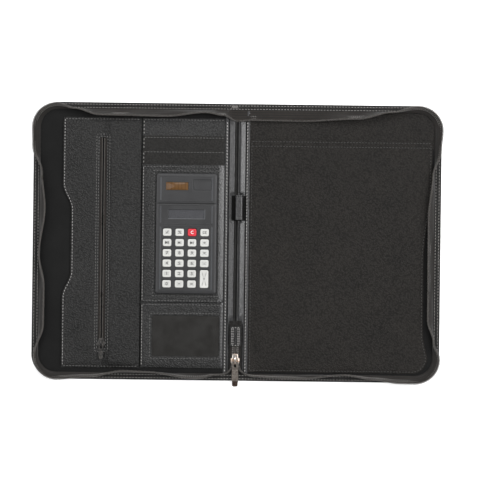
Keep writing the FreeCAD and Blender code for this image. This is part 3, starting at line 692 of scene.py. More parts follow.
# Darker copy of the tape cloth: painted shade in its grooves.
TAPE_GROOVE_SHADE = cloth("zip_tape_groove_shade", (0.006, 0.0055, 0.005), thread=0.8, depth=0.2)
COIL = moulded("nylon_coil", (0.09, 0.084, 0.078), 0.32, tint=1.35)
THREAD_DARK = thread("dark_thread", (0.10, 0.098, 0.095))
THREAD_HEM = thread("hem_thread", (0.2, 0.19, 0.18))
# A lighter copy of the thread: painted highlight on rows that catch the light.
THREAD_HIGHLIGHT = thread("highlight_thread", (0.32, 0.31, 0.30))
THREAD_BLACK = thread("black_thread", (0.02, 0.019, 0.018))
# Near-black discs between stitches: painted shade in the needle holes.
HOLE_SHADE = moulded("needle_hole_shade", (0.002, 0.002, 0.002), 0.9)
CASE = moulded("calculator_plastic", (0.018, 0.0182, 0.0195), 0.46)
# Light plastic of the frames' rails, also used as painted highlight along the display's lower and
# right edges.
CASE_RAILS_AND_HIGHLIGHT = moulded("calculator_rails_and_highlight", (0.085, 0.088, 0.094), 0.34)
# Near-black plastic: painted shade in the groove between the face plates.
CASE_GROOVE_SHADE = moulded("calculator_groove_shade", (0.004, 0.004, 0.004), 0.6)
KEY = moulded("key_plastic", (0.55, 0.55, 0.53), 0.4, tint=1.08)
KEY_RED = moulded("red_key_plastic", (0.6, 0.03, 0.045), 0.34, tint=1.1)
PRINT = moulded("key_print", (0.09, 0.09, 0.09), 0.5)
PRINT_WHITE = moulded("key_print_white", (0.8, 0.8, 0.8), 0.5)
LCD = moulded("display_grey", (0.085, 0.087, 0.094), 0.3, tint=1.1)
SLIDER = plated("slider_plating", (0.72, 0.68, 0.64), (0.5, 0.34, 0.24), 0.3, size_mm=6.0)
PULL = plated("pull_plating", (0.26, 0.235, 0.21), (0.15, 0.13, 0.115), 0.4)
PULL_TIP = plated("pull_tip", (0.05, 0.035, 0.03), (0.08, 0.06, 0.05), 0.45)
BLACK_METAL = plated("black_lacquer", (0.02, 0.02, 0.02), (0.06, 0.055, 0.05), 0.35, metallic=0.3)
FILM = clear("window_film_clear", (0.017, 0.016, 0.0145), 0.3, 0.8, 0.4)
LENS = clear("display_lens_clear", (0.1, 0.1, 0.11), 0.05, 0.3, 0.8)
SOLAR = solar("solar_cell_amber")
CIRCUIT = moulded("circuit_green", (0.02, 0.12, 0.05), 0.4)
RUBBER = moulded("membrane_rubber", (0.02, 0.02, 0.02), 0.7)
# Black cloth of the pocket's bag, also used as the pen loop's painted shadow.
BAG_CLOTH_AND_SHADOW = cloth("bag_cloth_and_loop_shadow", (0.003, 0.003, 0.003), sheen=0.0)


# ---------------------------------------------------------------- run around a cover
def eased(wave, t):
    """Smooth reading of a (position, value) list."""
    for (t0, v0), (t1, v1) in zip(wave, wave[1:]):
        if t <= t1:
            return v0 + (v1 - v0) * float(ease(t0, t1, t))
    return wave[-1][1]


def cover_path(wave=None):
    """Rows along a cover's three outer sides: outline x, y, outward normal, free-edge inset."""
    fold = np.arange(0.0, 26.0, 1.5)
    across = np.concatenate([fold, np.linspace(fold[-1] + 1.5, corner_x, int(200 / path_step))])
    down = np.linspace(corner_y, -corner_y, int(2 * corner_y / path_step))
    rows = []
    for x in across[:-1]:
        inset = 0
        if wave:
            start = wave["top"][0][1]
            t = (x - tape_start_top) / (corner_x - tape_start_top)
            flat = float(ease(2.0, tape_start_top, x))
            inset = eased(wave["top"], t) if t > 0 else flat_inset + (start - flat_inset) * flat
        rows.append((x, half_height, 0, 1, inset))
    for turn, first, last, sign in ((90, "top", "side", 1), (0, "side", "bottom", -1)):
        if sign < 0:
            for y in down[:-1]:
                inset = eased(wave["side"], (corner_y - y) / (2 * corner_y)) if wave else 0
                rows.append((outer_x, y, 1, 0, inset))
        for part in np.linspace(0, 1, 15)[:-1]:
            angle = math.radians(turn - 90 * part)
            nx, ny = math.cos(angle), math.sin(angle)
            inset = 0
            if wave:
                inset = wave[first][-1][1] * (1 - part) + wave[last][0][1] * part
            rows.append((corner_x + corner_radius * nx, sign * corner_y + corner_radius * ny,
                         nx, ny, inset))
    for x in across[::-1]:
        inset = 0
        if wave:
            t = (corner_x - x) / (corner_x - tape_start_bottom)
            inset = eased(wave["bottom"], min(t, 1))
        rows.append((x, -half_height, 0, -1, inset))
    return np.array(rows)


def hem_height(x):
    """Top of the hem: lower on the spine than on the covers."""
    return spine_z + (hem_z - spine_z) * ease(hem_step_start, hem_step_end, np.abs(x))


def inset_line(path, distance, height):
    """The path moved inwards, at a height (number or function of x)."""
    x = path[:, 0] - path[:, 2] * distance
    y = path[:, 1] - path[:, 3] * distance
    z = height(x) if callable(height) else np.full(len(x), height)
    return np.column_stack([x, y, z])


def mirrored(soup, side):
    """The soup as built for the +X cover, or its mirror image."""
    if side > 0:
        return soup
    flipped = Soup()
    flipped.verts = [(-x, y, z) for x, y, z in soup.verts]
    flipped.faces = [tuple(reversed(face)) for face in soup.faces]
    flipped.marks = list(soup.marks)
    return flipped


def cover_outline(distance, from_x):
    """Closed polygon of a cover at an inset, starting at a line parallel to the fold."""
    line = inset_line(cover_path(), distance, 0.0)[:, :2]
    line = [tuple(p) for p in line if p[0] > from_x + 0.2]
    y = half_height - distance
    return dense([(from_x, y)] + line + [(from_x, -y)], 3.0)[::-1]


side_body = {1: "back_cover", -1: "front_cover"}
side_name = {1: "back", -1: "front"}


def fold_blend(side, start=fold_start):
    """Where a piece bends from a cover into the spine."""
    return (side_body[side], "spine", side * start, side * fold_end)


# ---------------------------------------------------------------- outer skin
# Section of the skin from under the case, round the edge and over the hem: (inset, part of the
# hem's height), with a dip at each of the two rows of stitches.
skin_profile = (
    (13.0, 0.0), (5.0, 0.0), (1.5, 0.015), (0.5, 0.1), (0.06, 0.3), (0.0, 0.55), (0.12, 0.8),
    (0.5, 0.94), (1.2, 1.0), (2.1, 1.01), (2.5, 0.94), (2.75, 0.94), (3.2, 1.01), (4.6, 1.03),
    (6.3, 1.01), (6.6, 0.94), (6.85, 0.94), (7.3, 1.0), (8.6, 0.99), (9.0, 0.95), (9.2, 0.8),
    (9.2, 0.5), (13.0, 0.5),
)
hem_stitch_insets = (2.62, 6.72)
fold_crease = 0.45           # how far the outer face dips along the fold


def make_skin(side):
    soup = Soup()
    path = cover_path()
    rings = []
    for inset, part in skin_profile:
        ring = inset_line(path, inset, lambda x: part * hem_height(x))
        if 1.0 < inset < 9.1 and part > 0.9:
            ring[:, 2] += 0.09 * ripple(ring[:, 0], ring[:, 1], 17, 3)
        rings.append(ring)
    soup.add(*loft(np.array(rings).transpose(1, 0, 2), closed=False))
    across = np.concatenate([np.arange(1.5, 26, 1.5), np.arange(30, 250, 9)])
    for index, level in ((0, 0.0), (-1, 0.5)):
        ring = rings[index][:, :2]
        fold_line = open_line([tuple(ring[0]), tuple(ring[-1])], 3.0)[1:-1]
        rim = [tuple(p) for p in ring[::-1]] + fold_line
        grid = grid_inside(across, np.arange(-155, 156, 9.0), [rim], 1.0)
        verts, faces = triangulate(np.concatenate([rim, grid]), [rim])
        if level:
            z = level * hem_height(verts[:, 0])
        else:
            z = fold_crease * hump(verts[:, 0] - hinge_x, 1.6)
        soup.add(np.column_stack([verts, z]), faces.tolist())
    name = side_name[side]
    nodes = [f"{name}_cover_skin", f"{name}_foam", f"{name}_board"]
    if side > 0:
        nodes += ["spine_skin", "spine_board"]
    build(f"{name}_outer_skin", mirrored(soup, side), SKIN, replaces=nodes,
          blend=fold_blend(side))
    threads = Soup()
    for inset in hem_stitch_insets:
        stitch_run(threads, inset_line(path, inset, lambda x: hem_height(x) * 0.96), hole_shade_mark=1)
    build(f"{name}_hem_stitches", mirrored(threads, side), [THREAD_HEM, HOLE_SHADE],
          blend=fold_blend(side))


for side in (-1, 1):
    make_skin(side)


# ---------------------------------------------------------------- linings
def make_lining(side):
    """Lining of a cover. Behind the pad pocket's mouth the back one is leather, like the pocket."""
    soup = Soup()
    panel(soup, cover_outline(lining_inset, lining_start), [],
          lambda x, y: lining_z + 0.12 * ripple(x, y, 55, 5), lambda x, y: lining_z - 0.6 + 0 * x,
          roll=0.3, step=7.0)
    name = side_name[side]
    if side > 0:
        soup.marks = [int(middle[1] > PADS.y1 - 9) for middle in soup.middles()]
    build(f"{name}_lining_cloth", mirrored(soup, side), [LINING_CLOTH, PAD], body=side_body[side],
          replaces=[f"{name}_lining"])


for side in (-1, 1):
    make_lining(side)


# ---------------------------------------------------------------- spine lining
# Across the spine, from its middle line: a valley, a padded ridge, and a step up to the cover's
# lining with a crease at its foot.
valley_half = 1.4
ridge_top_x = 4.4
ridge_foot_x = 9.8
ridge_end_x = 10.5
crease_x = 10.6
step_foot_x = 10.9
step_top_x = 12.2
ridge_height = 2.3
tail_fold_x = 8.5            # beside the zip's tail
ridge_end_y = 148.0
flat_start_y = 153.0
spine_stitch_x = {1: 12.2, -1: 13.2}


def spine_relief(x, y):
    """Two padded ridges that fall away from a deep valley, flat at both ends and the loop."""
    along = ease(TAB.y1 + 1, TAB.y1 + 14, y) * (1 - ease(ridge_end_y, flat_start_y, y))
    along = along * (1 - 0.9 * ease(LOOP.y0 - 4, LOOP.y0, y) * (1 - ease(LOOP.y1, LOOP.y1 + 4, y)))
    a = np.abs(x)
    fall = np.clip((a - ridge_top_x) / (ridge_foot_x - ridge_top_x), 0, 1)
    ridge = ease(valley_half, ridge_top_x, a) * (1 - 0.85 * fall ** 1.3)
    ridge = ridge * (1 - ease(ridge_foot_x, ridge_end_x, a))
    wave = 0.12 * ripple(x * 0.6, y, 30, 8) + 0.06 * ripple(x, y, 8, 9)
    side_step = (lining_z + 0.35 - spine_z) * ease(step_foot_x, step_top_x, a)
    crease = 0.5 * hump(a - crease_x, 0.45) * ease(TAB.y1 - 5, TAB.y1 + 5, y)
    fold = 0.75 * hump(a - tail_fold_x, 0.5) * (1 - ease(TAB.y1 - 2, TAB.y1 + 4, y))
    return spine_z + along * ridge * (ridge_height + wave) + side_step - crease - fold


def spine_shade(x, y):
    """Which leather is painted at a place on the spine: 0 the lighter glossy leather, painted
    highlight on the ridges; 1 the darker leather, painted shade in the valley and round the zip's
    tail; 2 near-black leather, painted shade in the creases, beside the tail, round the loop and
    along the middle line.
    """
    a = abs(x)
    beside_tail = 7.9 < a < 9.1 and -162 < y < TAB.y1 + 3
    beside_loop = -7.0 < x < 10.5 and LOOP.y0 - 0.5 < y < LOOP.y1 + 0.5
    if beside_tail or beside_loop or 10.2 < a < 10.9:
        return 2
    if y < TAB.y1 + 6:
        return 1 if a < 7.9 else 0
    if a < 0.9:
        return 2
    return 1 if -2.9 < x < 1.7 else 0


def make_spine_lining(side):
    y = half_height - 9.0
    xs = np.concatenate([np.arange(0, 7.6, 0.5), np.arange(7.6, 12.6, 0.2),
                         np.arange(12.7, 15, 0.6), [15.1, 15.3, 15.4]])
    gx, gy = np.meshgrid(xs, np.linspace(-y, y, 190), indexing="ij")
    top = spine_relief(gx, gy)
    top = np.where(gx > 15.05, top - (gx - 15.05) * 1.6, top)
    soup = grid_sheet(gx, gy, top, np.minimum(top - 0.6, spine_z - 1.2))
    # Painted highlight on the ridges, painted shade in the valley, the creases and round the tail
    # and loop.
    soup.marks = [spine_shade(side * middle[0], middle[1]) for middle in soup.middles()]
    name = side_name[side]
    build(f"{name}_spine_lining", mirrored(soup, side), [PU_GLOSS_AND_HIGHLIGHT, PU_DULL_AND_SHADE, PU_PAINTED_SHADE],
          replaces=["spine_lining"] if side > 0 else [],
          blend=fold_blend(side))
    threads = Soup()
    line_y = np.linspace(-y + 2, 151, 160)
    line_x = np.full(160, spine_stitch_x[side])
    line = np.column_stack([line_x, line_y, spine_relief(line_x, line_y) - 0.12])
    stitch_run(threads, line, pitch=3.85, length=2.8, radius=0.5, slant=16, hole_shade_mark=1)
    # The fold stitches are in the lighter thread: painted highlight.
    build(f"{name}_fold_stitches", mirrored(threads, side), [THREAD_HIGHLIGHT, HOLE_SHADE],
          blend=fold_blend(side))


for side in (-1, 1):
    make_spine_lining(side)


# ---------------------------------------------------------------- zip around the case
# Thickness of the tape from foot to edge, as a share of the sheet: two ribs with grooves between.
tape_bands = np.array([0.9, 1.5, 1.5, 0.5, 1.5, 1.5, 0.5, 1.5, 1.5, 0.6, 1.6, 1.5])
groove_columns = (2, 5, 8)


def strip(soup, feet, edges, thick, wobble, dark):
    """A woven tape between two lines, with raised bands along it and painted shade in the grooves
    between them.
    """
    parts = np.linspace(0, 1, len(tape_bands))
    middle = feet[:, None] * (1 - parts)[None, :, None] + edges[:, None] * parts[None, :, None]
    across = unit(edges - feet)[:, None]
    normal = unit(np.cross(unit(np.gradient(middle, axis=0)), across))
    middle = middle + normal * (wobble[:, None] * np.sin(parts * math.pi)[None, :])[..., None]
    half = (thick / 2 * tape_bands)[None, :, None] * normal
    rings = np.concatenate([middle + half, (middle - half)[:, ::-1]], axis=1)
    verts, faces = loft(rings, caps=True)
    soup.add(verts, faces)
    size = 2 * len(tape_bands)
    for index in range(len(faces) - 2):
        column = index % size
        # Darker cloth in the grooves: painted shade.
        if min(column, size - 2 - column) in groove_columns:
            soup.marks[index] = dark
    return normal[:, 0]


def coil(soup, path, ups, radius, pitch, wire, mark, flat=1.0, turn=9, start=0.0):
    """A coiled monofilament along a path. ups point across the coil, one for each point."""
    path = np.asarray(path, float)
    along = run_of(path)
    places = np.arange(0, along[-1], pitch / turn)
    centre = read_at(places, along, path)
    up = read_at(places, along, ups)
    tangent = unit(np.gradient(centre, axis=0))
    up = unit(up - tangent * (up * tangent).sum(1)[:, None])
    side = np.cross(tangent, up)
    angle = places / pitch * 2 * math.pi + start
    line = centre + radius * (np.cos(angle)[:, None] * side * flat
                              + np.sin(angle)[:, None] * up)
    soup.add(*tube(line, wire, sides=5), mark)


def smooth_line(points, count):
    """A smooth curve through points, evenly spaced."""
    points = np.array(points, float)
    along = run_of(points)
    line = read_at(np.linspace(0, along[-1], count), along, points)
    for _ in range(12):
        line[1:-1] = (line[:-2] + 2 * line[1:-1] + line[2:]) / 4
    return line


# The tapes' last stretch: round the end of the spine and up beside the tail.
tail_foot_points = ((14, -165, 3.5), (9.5, -164.6, 3.1), (7.6, -160.5, 3.5), (6.6, -156, 4.0),
                    (6.2, -152.4, 4.2), (6.2, -140, 4.2), (6.2, -107, 4.2))
tail_edge_points = ((15, -165.4, 5.6), (9.5, -163.6, 5.2), (5.9, -159.3, 5.0), (3.9, -155.5, 4.8),
                    (3.0, -152.4, 4.8), (3.0, -143.5, 4.7), (1.9, -139, 4.7), (1.9, -107, 4.7))
tail_rows = 60
tail_coil_limit = 5.25       # keeps the coils of the tail under the slider
tape_thick = 0.62


def make_zip(side, wave):
    path = cover_path(wave=wave)
    flat_end = path[:, 1] < -half_height + 1
    path = path[~(flat_end & (path[:, 0] < tape_start_bottom))]
    x, y, out_x, out_y, inset = path.T
    rise = np.sqrt(np.clip(tape_reach ** 2 - (inset - seam_inset) ** 2, 0, None))
    crossing = 1 - ease(4.0, tape_start_top, x)
    limit = tip_limit - hem_z - coil_size / 2
    rise = np.clip(rise, coil_size / 2, limit) * (1 - crossing) + 0.9 * crossing
    rise = rise * np.where(y < 0, 0.35 + 0.65 * ease(19, 40, x), 1)
    feet = inset_line(path, seam_inset, hem_height)
    feet[:, 2] += 0.25
    edges = np.column_stack([x - out_x * inset, y - out_y * inset, hem_height(x) + rise])
    feet = np.concatenate([feet, smooth_line([feet[-1], *tail_foot_points], tail_rows)[1:]])
    edges = np.concatenate([edges, smooth_line([edges[-1], *tail_edge_points], tail_rows)[1:]])
    soup = Soup()
    place = np.arange(len(feet)) * 3.5
    wobble = 0.8 * np.sin(place / 23) + 0.35 * np.sin(place / 7.1 + 1)
    wobble[-62:] *= np.linspace(1, 0, 62) ** 3
    normal = strip(soup, feet, edges, tape_thick, wobble, dark=3)
    centre = edges + unit(edges - feet) * 0.75
    centre[-40:, 2] = np.minimum(centre[-40:, 2], tail_coil_limit)
    coil(soup, centre, normal, radius=0.98, pitch=1.62, wire=0.36, mark=1)
    for part in (0.62, 0.82):
        line = feet + (edges - feet) * part + normal * 0.42
        stitch_run(soup, line, pitch=2.6, length=1.9, radius=0.24, mark=2, ups=normal)
    if side < 0:
        # A zigzag tack over the flat end of the tapes.
        zigzag = [(8.0 - 1.3 * i, half_height - (2.0 if i % 2 else 6.0), spine_z + 0.05)
                  for i in range(7)]
        soup.add(*tube(open_line(zigzag, 0.8), 0.34, sides=5), 2)
    name = side_name[side]
    nodes = [f"{name}_zip_stringer"] + (["spine_zip_stringers"] if side > 0 else [])
    build(f"{name}_zip_half", mirrored(soup, side), [TAPE, COIL, THREAD_HEM, TAPE_GROOVE_SHADE],
          replaces=nodes, blend=fold_blend(side, 21.0))


make_zip(-1, front_wave)
make_zip(1, back_wave)


# ---------------------------------------------------------------- document pocket
slot_x = Box("pocket_slider").cx
slot_low = TAPES.y0 + 4.0
slot_high = TAPES.y1 - 4.0
slot = (slot_x - 4.0, slot_x + 4.0, slot_low, slot_high)
thumb_depth = 10.6
thumb_flat = 39.0
thumb_end = 71.0
chain_count = 90


def pocket_edge_x(y):
    """Open edge of the document pocket, with its thumb recess."""
    return POCKET.x0 + thumb_depth * (1 - ease(thumb_flat, thumb_end, np.abs(y)))


def make_document_pocket():
    x0, x1, y0, y1 = POCKET.plan
    left = [(float(pocket_edge_x(y)), float(y)) for y in np.arange(y0, y1, 2.5)]
    outline = []
    for start, end in (((x0, y1), (x1, y1)), ((x1, y1), (x1, y0)), ((x1, y0), (x0, y0))):
        outline += open_line([start, end], 3.0)[:-1]
    outline = (outline + left)[::-1]

    def sewn(x, y):
        """0 at the three sewn sides, 1 away from them."""
        nearest = np.minimum(np.minimum(y - y0, y1 - y), x1 - x)
        return ease(0.5, 6.5, nearest)

    def full(x, y):
        """A swell beside the slot, gathers above it, and the hem of the open edge."""
        away = x - slot_x
        z = POCKET.z1 - 0.05 + 0.22 * ripple(x, y, 62, 21) + 0.07 * ripple(x, y, 17, 22)
        z = z + 2.6 * ease(5.2, 9.5, away) * (1 - np.clip((away - 8) / 38, 0, 1))
        z = z + 0.5 * ease(5.2, 9.5, -away) * (1 - ease(8, 34, -away))
        gather = hump(y - slot_high - 1.5, 5.5) * hump(away, 8)
        z = z + gather * (0.35 * np.cos(away * 1.5) - 0.1)
        ridge = hump(np.abs(away) - 4.9, 0.7) * (np.abs(y) < 132)
        return z + 0.1 * ridge - 0.1 * hump(x - pocket_edge_x(y) - 9.5, 0.8)

    top, under = sewn_down(full, sewn, 1.0)
    soup = Soup()
    panel(soup, outline, [rounded_rect(*slot, 1.6, 3.0, 4)], top, under, roll=0.4, step=4.0)
    build("document_pocket_panel", soup, PANEL, body="front_cover",
          replaces=["document_pocket"])
    threads = Soup()
    # The row along the open edge is in the lighter thread: painted highlight.
    recess = [(float(pocket_edge_x(y)) + 2.0, float(y)) for y in np.arange(y0 + 3, y1 - 2, 2.0)]
    sew(threads, recess, top, mark=2)
    for y in (y1 - 2.2, y0 + 2.2):
        sew(threads, open_line([(x0 + 2, y), (x1 - 2.2, y)]), top)
    for margin in (1.6, 4.2):
        around = rounded_rect(*grown(slot, margin), 2.2, 2.5, 4)
        sew(threads, around + around[:1], top)
    build("document_pocket_stitches", threads, [THREAD_DARK, HOLE_SHADE, THREAD_HIGHLIGHT],
          body="front_cover")


make_document_pocket()


def make_pocket_chain():
    soup = Soup()
    z_top = TAPES.z0 + 0.4
    for side in (-1, 1):
        xs = slot_x + side * np.array([1.2, 3.0, 11.0])
        ys = np.linspace(TAPES.y0, TAPES.y1, 60)
        rings = [[(x, y, z_top) for y in ys] for x in xs]
        rings += [[(x, y, TAPES.z0) for y in ys] for x in xs[::-1]]
        rings.append(rings[0])
        soup.add(*loft(np.array(rings), closed=False))
        line = np.column_stack([np.full(chain_count, slot_x + side * 1.42),
                                np.linspace(slot_low + 0.6, slot_high - 0.6, chain_count),
                                np.full(chain_count, z_top + 0.62)])
        ups = np.tile((0.0, 0.0, 1.0), (chain_count, 1))
        coil(soup, line, ups, radius=0.5, pitch=1.15, wire=0.24, mark=1, flat=1.1, turn=8,
             start=side * 1.57)
    build("pocket_zip_chain", soup, [TAPE, COIL], body="front_cover",
          replaces=["pocket_zip_stringers"])


make_pocket_chain()


# ---------------------------------------------------------------- organiser column
opening = (CALC.x0 - 0.4, CALC.x1 + 1.1, CALC.y0 - 0.4, CALC.y1 + 1.2)
window = (COLUMN.x1 - 88.8, COLUMN.x1 - 4.8, -143.6, -92.4)


def side_fall(x, width=8.0):
    """0 at the column's two long edges, 1 away from them."""
    return ease(0.0, width, np.minimum(x - COLUMN.x0, COLUMN.x1 - x))


def column_sheet(name, box, node_name, top, under, y0=None, holes=(), step=3.5, inset=0.0,
                 material=None, highlight_from=0.0, shade_below=-200.0):
    """One sheet of the column, with the lighter glossy leather right of a given x as painted
    highlight, and near-black leather as painted shade along its left edge and below a given y.
    """
    soup = Soup()
    low = box.y0 if y0 is None else y0
    left, right = COLUMN.x0 + inset, COLUMN.x1 - inset
    outline = dense([(left, low), (right, low), (right, box.y1), (left, box.y1)], 2.5)
    panel(soup, outline, holes, top, under, roll=0.35, step=step)
    # Near-black as painted shade along the left edge and low down; the lighter glossy leather as
    # painted highlight on the right margin.
    soup.marks = [2 if x < COLUMN.x0 + 1.3 or y < shade_below else int(x > highlight_from)
                  for x, y, z in soup.middles()]
    build(name, soup, [material or PU, PU_GLOSS_AND_HIGHLIGHT, PU_PAINTED_SHADE], body="front_cover",
          replaces=[node_name])


def slot_sheet_top(level, edge, seed):
    """Height of a card slot's sheet, with a raised lip along its upper edge."""
    def top(x, y):
        lip = 0.22 * hump(y - edge + 0.9, 0.8)
        wave = 0.18 * ripple(x, y, 30, seed) * side_fall(x, 14)
        low = lining_z + 0.5
        return low + (level - low + lip + wave) * (0.15 + 0.85 * side_fall(x))
    return top


def around_box(x, y, box, radius):
    """Distance of each place to a rounded rectangle's outline."""
    return edge_distance(np.column_stack([x, y]), [rounded_rect(*box, radius)])


def frame_top(x, y):
    """Height of the calculator's surround, with a fold at each upper corner of the opening."""
    around = around_box(x, y, opening, 3.0)
    wave = 0.2 * ripple(x, y, 34, 34) + 0.07 * ripple(x, y, 11, 35)
    corner = 0.0
    for corner_at, away in ((opening[0], -1), (opening[1], 1)):
        u = (x - corner_at) * away
        v = y - opening[3]
        reach = np.clip((u + v) / 2, 0, None)
        corner = corner + hump(u - v, 1.6) * hump(reach, 8.0) * (reach > 0.3)
    level = FRAME.z1 - 0.25 + 0.35 * corner + wave * ease(1, 6, around)
    lip = 0.3 * hump(y - FRAME.y1 + 0.9, 0.8)
    groove = 0.16 * hump(around - 3.0, 0.5)
    low = lining_z + 0.7
    fall = np.clip(np.minimum(x - COLUMN.x0, COLUMN.x1 - x) / 9.2, 0, 1) ** 0.6
    return low + (level + lip - groove - low) * fall


def window_top(x, y):
    around = around_box(x, y, window, 2.0)
    wave = 0.12 * ripple(x, y, 26, 36)
    groove = 0.14 * hump(around - 2.6, 0.5)
    level = WINDOW.z1 + wave * ease(1, 6, around) - groove
    lip = 0.25 * hump(y - WINDOW.y1 + 0.9, 0.8)
    low = lining_z + 1.2
    return low + (level + lip - low) * side_fall(x, 4.5) * ease(0, 5, y - WINDOW.y0)


def make_column():
    base_top = slot_sheet_top(COLUMN.z1, COLUMN.y1, 31)
    upper = slot_sheet_top(UPPER.z1 + 0.1, UPPER.y1, 32)
    lower = slot_sheet_top(LOWER.z1 + 0.25, LOWER.y1, 33)
    # The backing is near-black under the window: painted shade.
    column_sheet("organiser_backing", COLUMN, "organiser_base", base_top,
                 lambda x, y: lining_z + 0 * x, shade_below=WINDOW.y1)
    column_sheet("card_slot_first", UPPER, "card_slot_upper", upper,
                 lambda x, y: upper(x, y) - 0.5, y0=LOWER.y1 - 14, inset=0.3, material=PU_DULL_AND_SHADE)
    column_sheet("card_slot_second", LOWER, "card_slot_lower", lower,
                 lambda x, y: lower(x, y) - 0.5, y0=FRAME.y1 - 14, inset=0.6, material=PU_DULL_AND_SHADE)
    column_sheet("calculator_surround", FRAME, "calculator_panel", frame_top,
                 lambda x, y: np.maximum(frame_top(x, y) - 0.7, lining_z + 0.3),
                 holes=[rounded_rect(*opening, 2.9, 2.5, 5)], step=2.6,
                 highlight_from=opening[1] + 1.2)
    column_sheet("window_surround", WINDOW, "window_panel", window_top,
                 lambda x, y: np.maximum(window_top(x, y) - 0.7, lining_z + 0.55),
                 holes=[rounded_rect(*window, 2.0, 2.5, 4)], step=2.8,
                 highlight_from=window[1] + 1.5)

    dark = Soup()
    light = Soup()
    left, right = COLUMN.x0 + 2.6, COLUMN.x1 - 1.0
    sheets = ((base_top, UPPER.y1 + 1, COLUMN.y1 - 2.2), (upper, LOWER.y1 + 1, UPPER.y1 - 2.6),
              (lower, FRAME.y1 + 1, LOWER.y1 - 2.6), (frame_top, FRAME.y0 + 2, FRAME.y1 - 2.6),
              (window_top, WINDOW.y0 + 3, WINDOW.y1 - 2.6))
    # Edge rows in dark thread; the rows along the left edge in the lighter thread, as painted
    # highlight.
    for top, side_start, edge_y in sheets:
        sew(dark, open_line([(left, edge_y), (right, edge_y)]), top, radius=0.32)
        side_end = edge_y - 0.3 if top is base_top else edge_y + 0.1
        sew(light, open_line([(left, side_start), (left, side_end)]), top, radius=0.32)
    x0, x1, y0, y1 = grown(opening, 3)
    # The row right of the opening is in near-black thread: painted shade.
    sew(dark, open_line([(x1, opening[3]), (x1, opening[2])]), frame_top, radius=0.32, mark=2)
    sew(dark, open_line([(x1, y1), (x0, y1), (x0, y0), (x1, y0)]), frame_top, radius=0.32)
    low_row = [(left, FRAME.y0 + 2), (right, FRAME.y0 + 2)]
    sew(dark, open_line(low_row), frame_top, radius=0.32)
    frame_row = rounded_rect(*grown(window, 2.6), 3.5)
    sew(dark, frame_row + frame_row[:1], window_top, radius=0.32)
    build("column_stitches", dark, [THREAD_DARK, HOLE_SHADE, THREAD_BLACK], body="front_cover")
    build("column_highlight_stitches", light, [THREAD_HIGHLIGHT, HOLE_SHADE], body="front_cover")


make_column()


def make_film():
    film = Box("window_film")
    xs = np.linspace(film.x0, film.x1, 46)
    ys = np.linspace(film.y0, film.y1, 30)
    gx, gy = np.meshgrid(xs, ys, indexing="ij")
    edge = np.minimum(np.minimum(gx - xs[0], xs[-1] - gx), np.minimum(gy - ys[0], ys[-1] - gy))
    wave = 0.3 * ripple(gx, gy * 0.7, 38, 41) + 0.05 * ripple(gx, gy, 15, 42)
    top = film.z1 - 0.1 + (wave + 0.15) * ease(3, 14, edge)
    top = np.maximum(top, film.z0 + 0.05)
    build("window_film_sheet", grid_sheet(gx, gy, top, top - 0.22), FILM, body="front_cover",
          replaces=["window_film"])


make_film()


# ---------------------------------------------------------------- pad pocket
pad_corner = 19.0
pad_seam = 2.2               # edge of the pad pocket to its stitches
pad_bend = 9.5               # how far the pocket's right edge keeps away from the zip tape


def pad_edge_x(y):
    """Right edge: it bends away from the zip tape below the top third."""
    bend = (1 - ease(-20, 75, y)) * (0.35 + 0.65 * ease(-150, -110, y))
    return PADS.x1 - pad_bend * bend


def make_pad_pocket():
    r = pad_corner
    x0, x1, y0, y1 = PADS.plan
    corner_x1 = float(pad_edge_x(y0 + r))
    corner = [(a + corner_x1 - x1, b) for a, b in arc(x1 - r, y0 + r, r, 270, 360, 9)]
    side_line = [(float(pad_edge_x(y)), float(y)) for y in np.arange(y0 + r + 1, y1 - 1, 3.0)]
    outline = dense([(x0, y1), (x0, y0)] + corner + side_line + [(x1, y1)], 3.0)

    def sewn(x, y):
        """0 at the three sewn sides and the rounded corner, 1 away from them."""
        inner = np.minimum(np.minimum(x - x0, pad_edge_x(y) - x), y - y0)
        dx = np.clip(x - (corner_x1 - r), 0, None)
        dy = np.clip((y0 + r) - y, 0, None)
        around = np.where((dx > 0) & (dy > 0), r - np.hypot(dx, dy), 1e3)
        return ease(0.4, 5.0, np.minimum(inner, around))

    def full(x, y):
        wave = 0.3 * ripple(x, y, 95, 51) + 0.1 * ripple(x, y, 34, 52) + 0.03 * ripple(x, y, 9, 53)
        wave = wave * ease(27, 40, x) - 0.35 * (1 - ease(27, 34, x))
        lip = 0.25 * hump(y - y1 + 1.2, 1.0)
        return PADS.z1 + 0.1 + wave + lip - 0.12 * hump(y - y1 + 9.0, 0.7)

    top, under = sewn_down(full, sewn, 0.9)
    soup = Soup()
    panel(soup, outline, [], top, under, roll=0.35, step=4.5)
    build("pad_pocket_panel", soup, PAD, body="back_cover",
          replaces=["pad_pocket"])
    threads = Soup()
    for y in (y1 - 2.4, y1 - 8.2):
        sew(threads, open_line([(x0 + 2, y), (x1 - 2, y)]), top)
    seam = [(a - pad_seam, b) for a, b in side_line[::-1]]
    seam += arc(corner_x1 - r, y0 + r, r - pad_seam, 0, -90, 9)
    seam += [(x0 + pad_seam, y0 + pad_seam), (x0 + pad_seam, y1 - 3)]
    sew(threads, open_line(seam), top)
    build("pad_pocket_stitches", threads, [THREAD_BLACK, HOLE_SHADE], body="back_cover")


make_pad_pocket()


# ---------------------------------------------------------------- pen loop
loop_half = 5.0
loop_x = LOOP.x1 - 0.35 - loop_half
loop_z = (LOOP.z0 + LOOP.z1) / 2
loop_angles = np.linspace(0, 2 * math.pi, 40, endpoint=False)


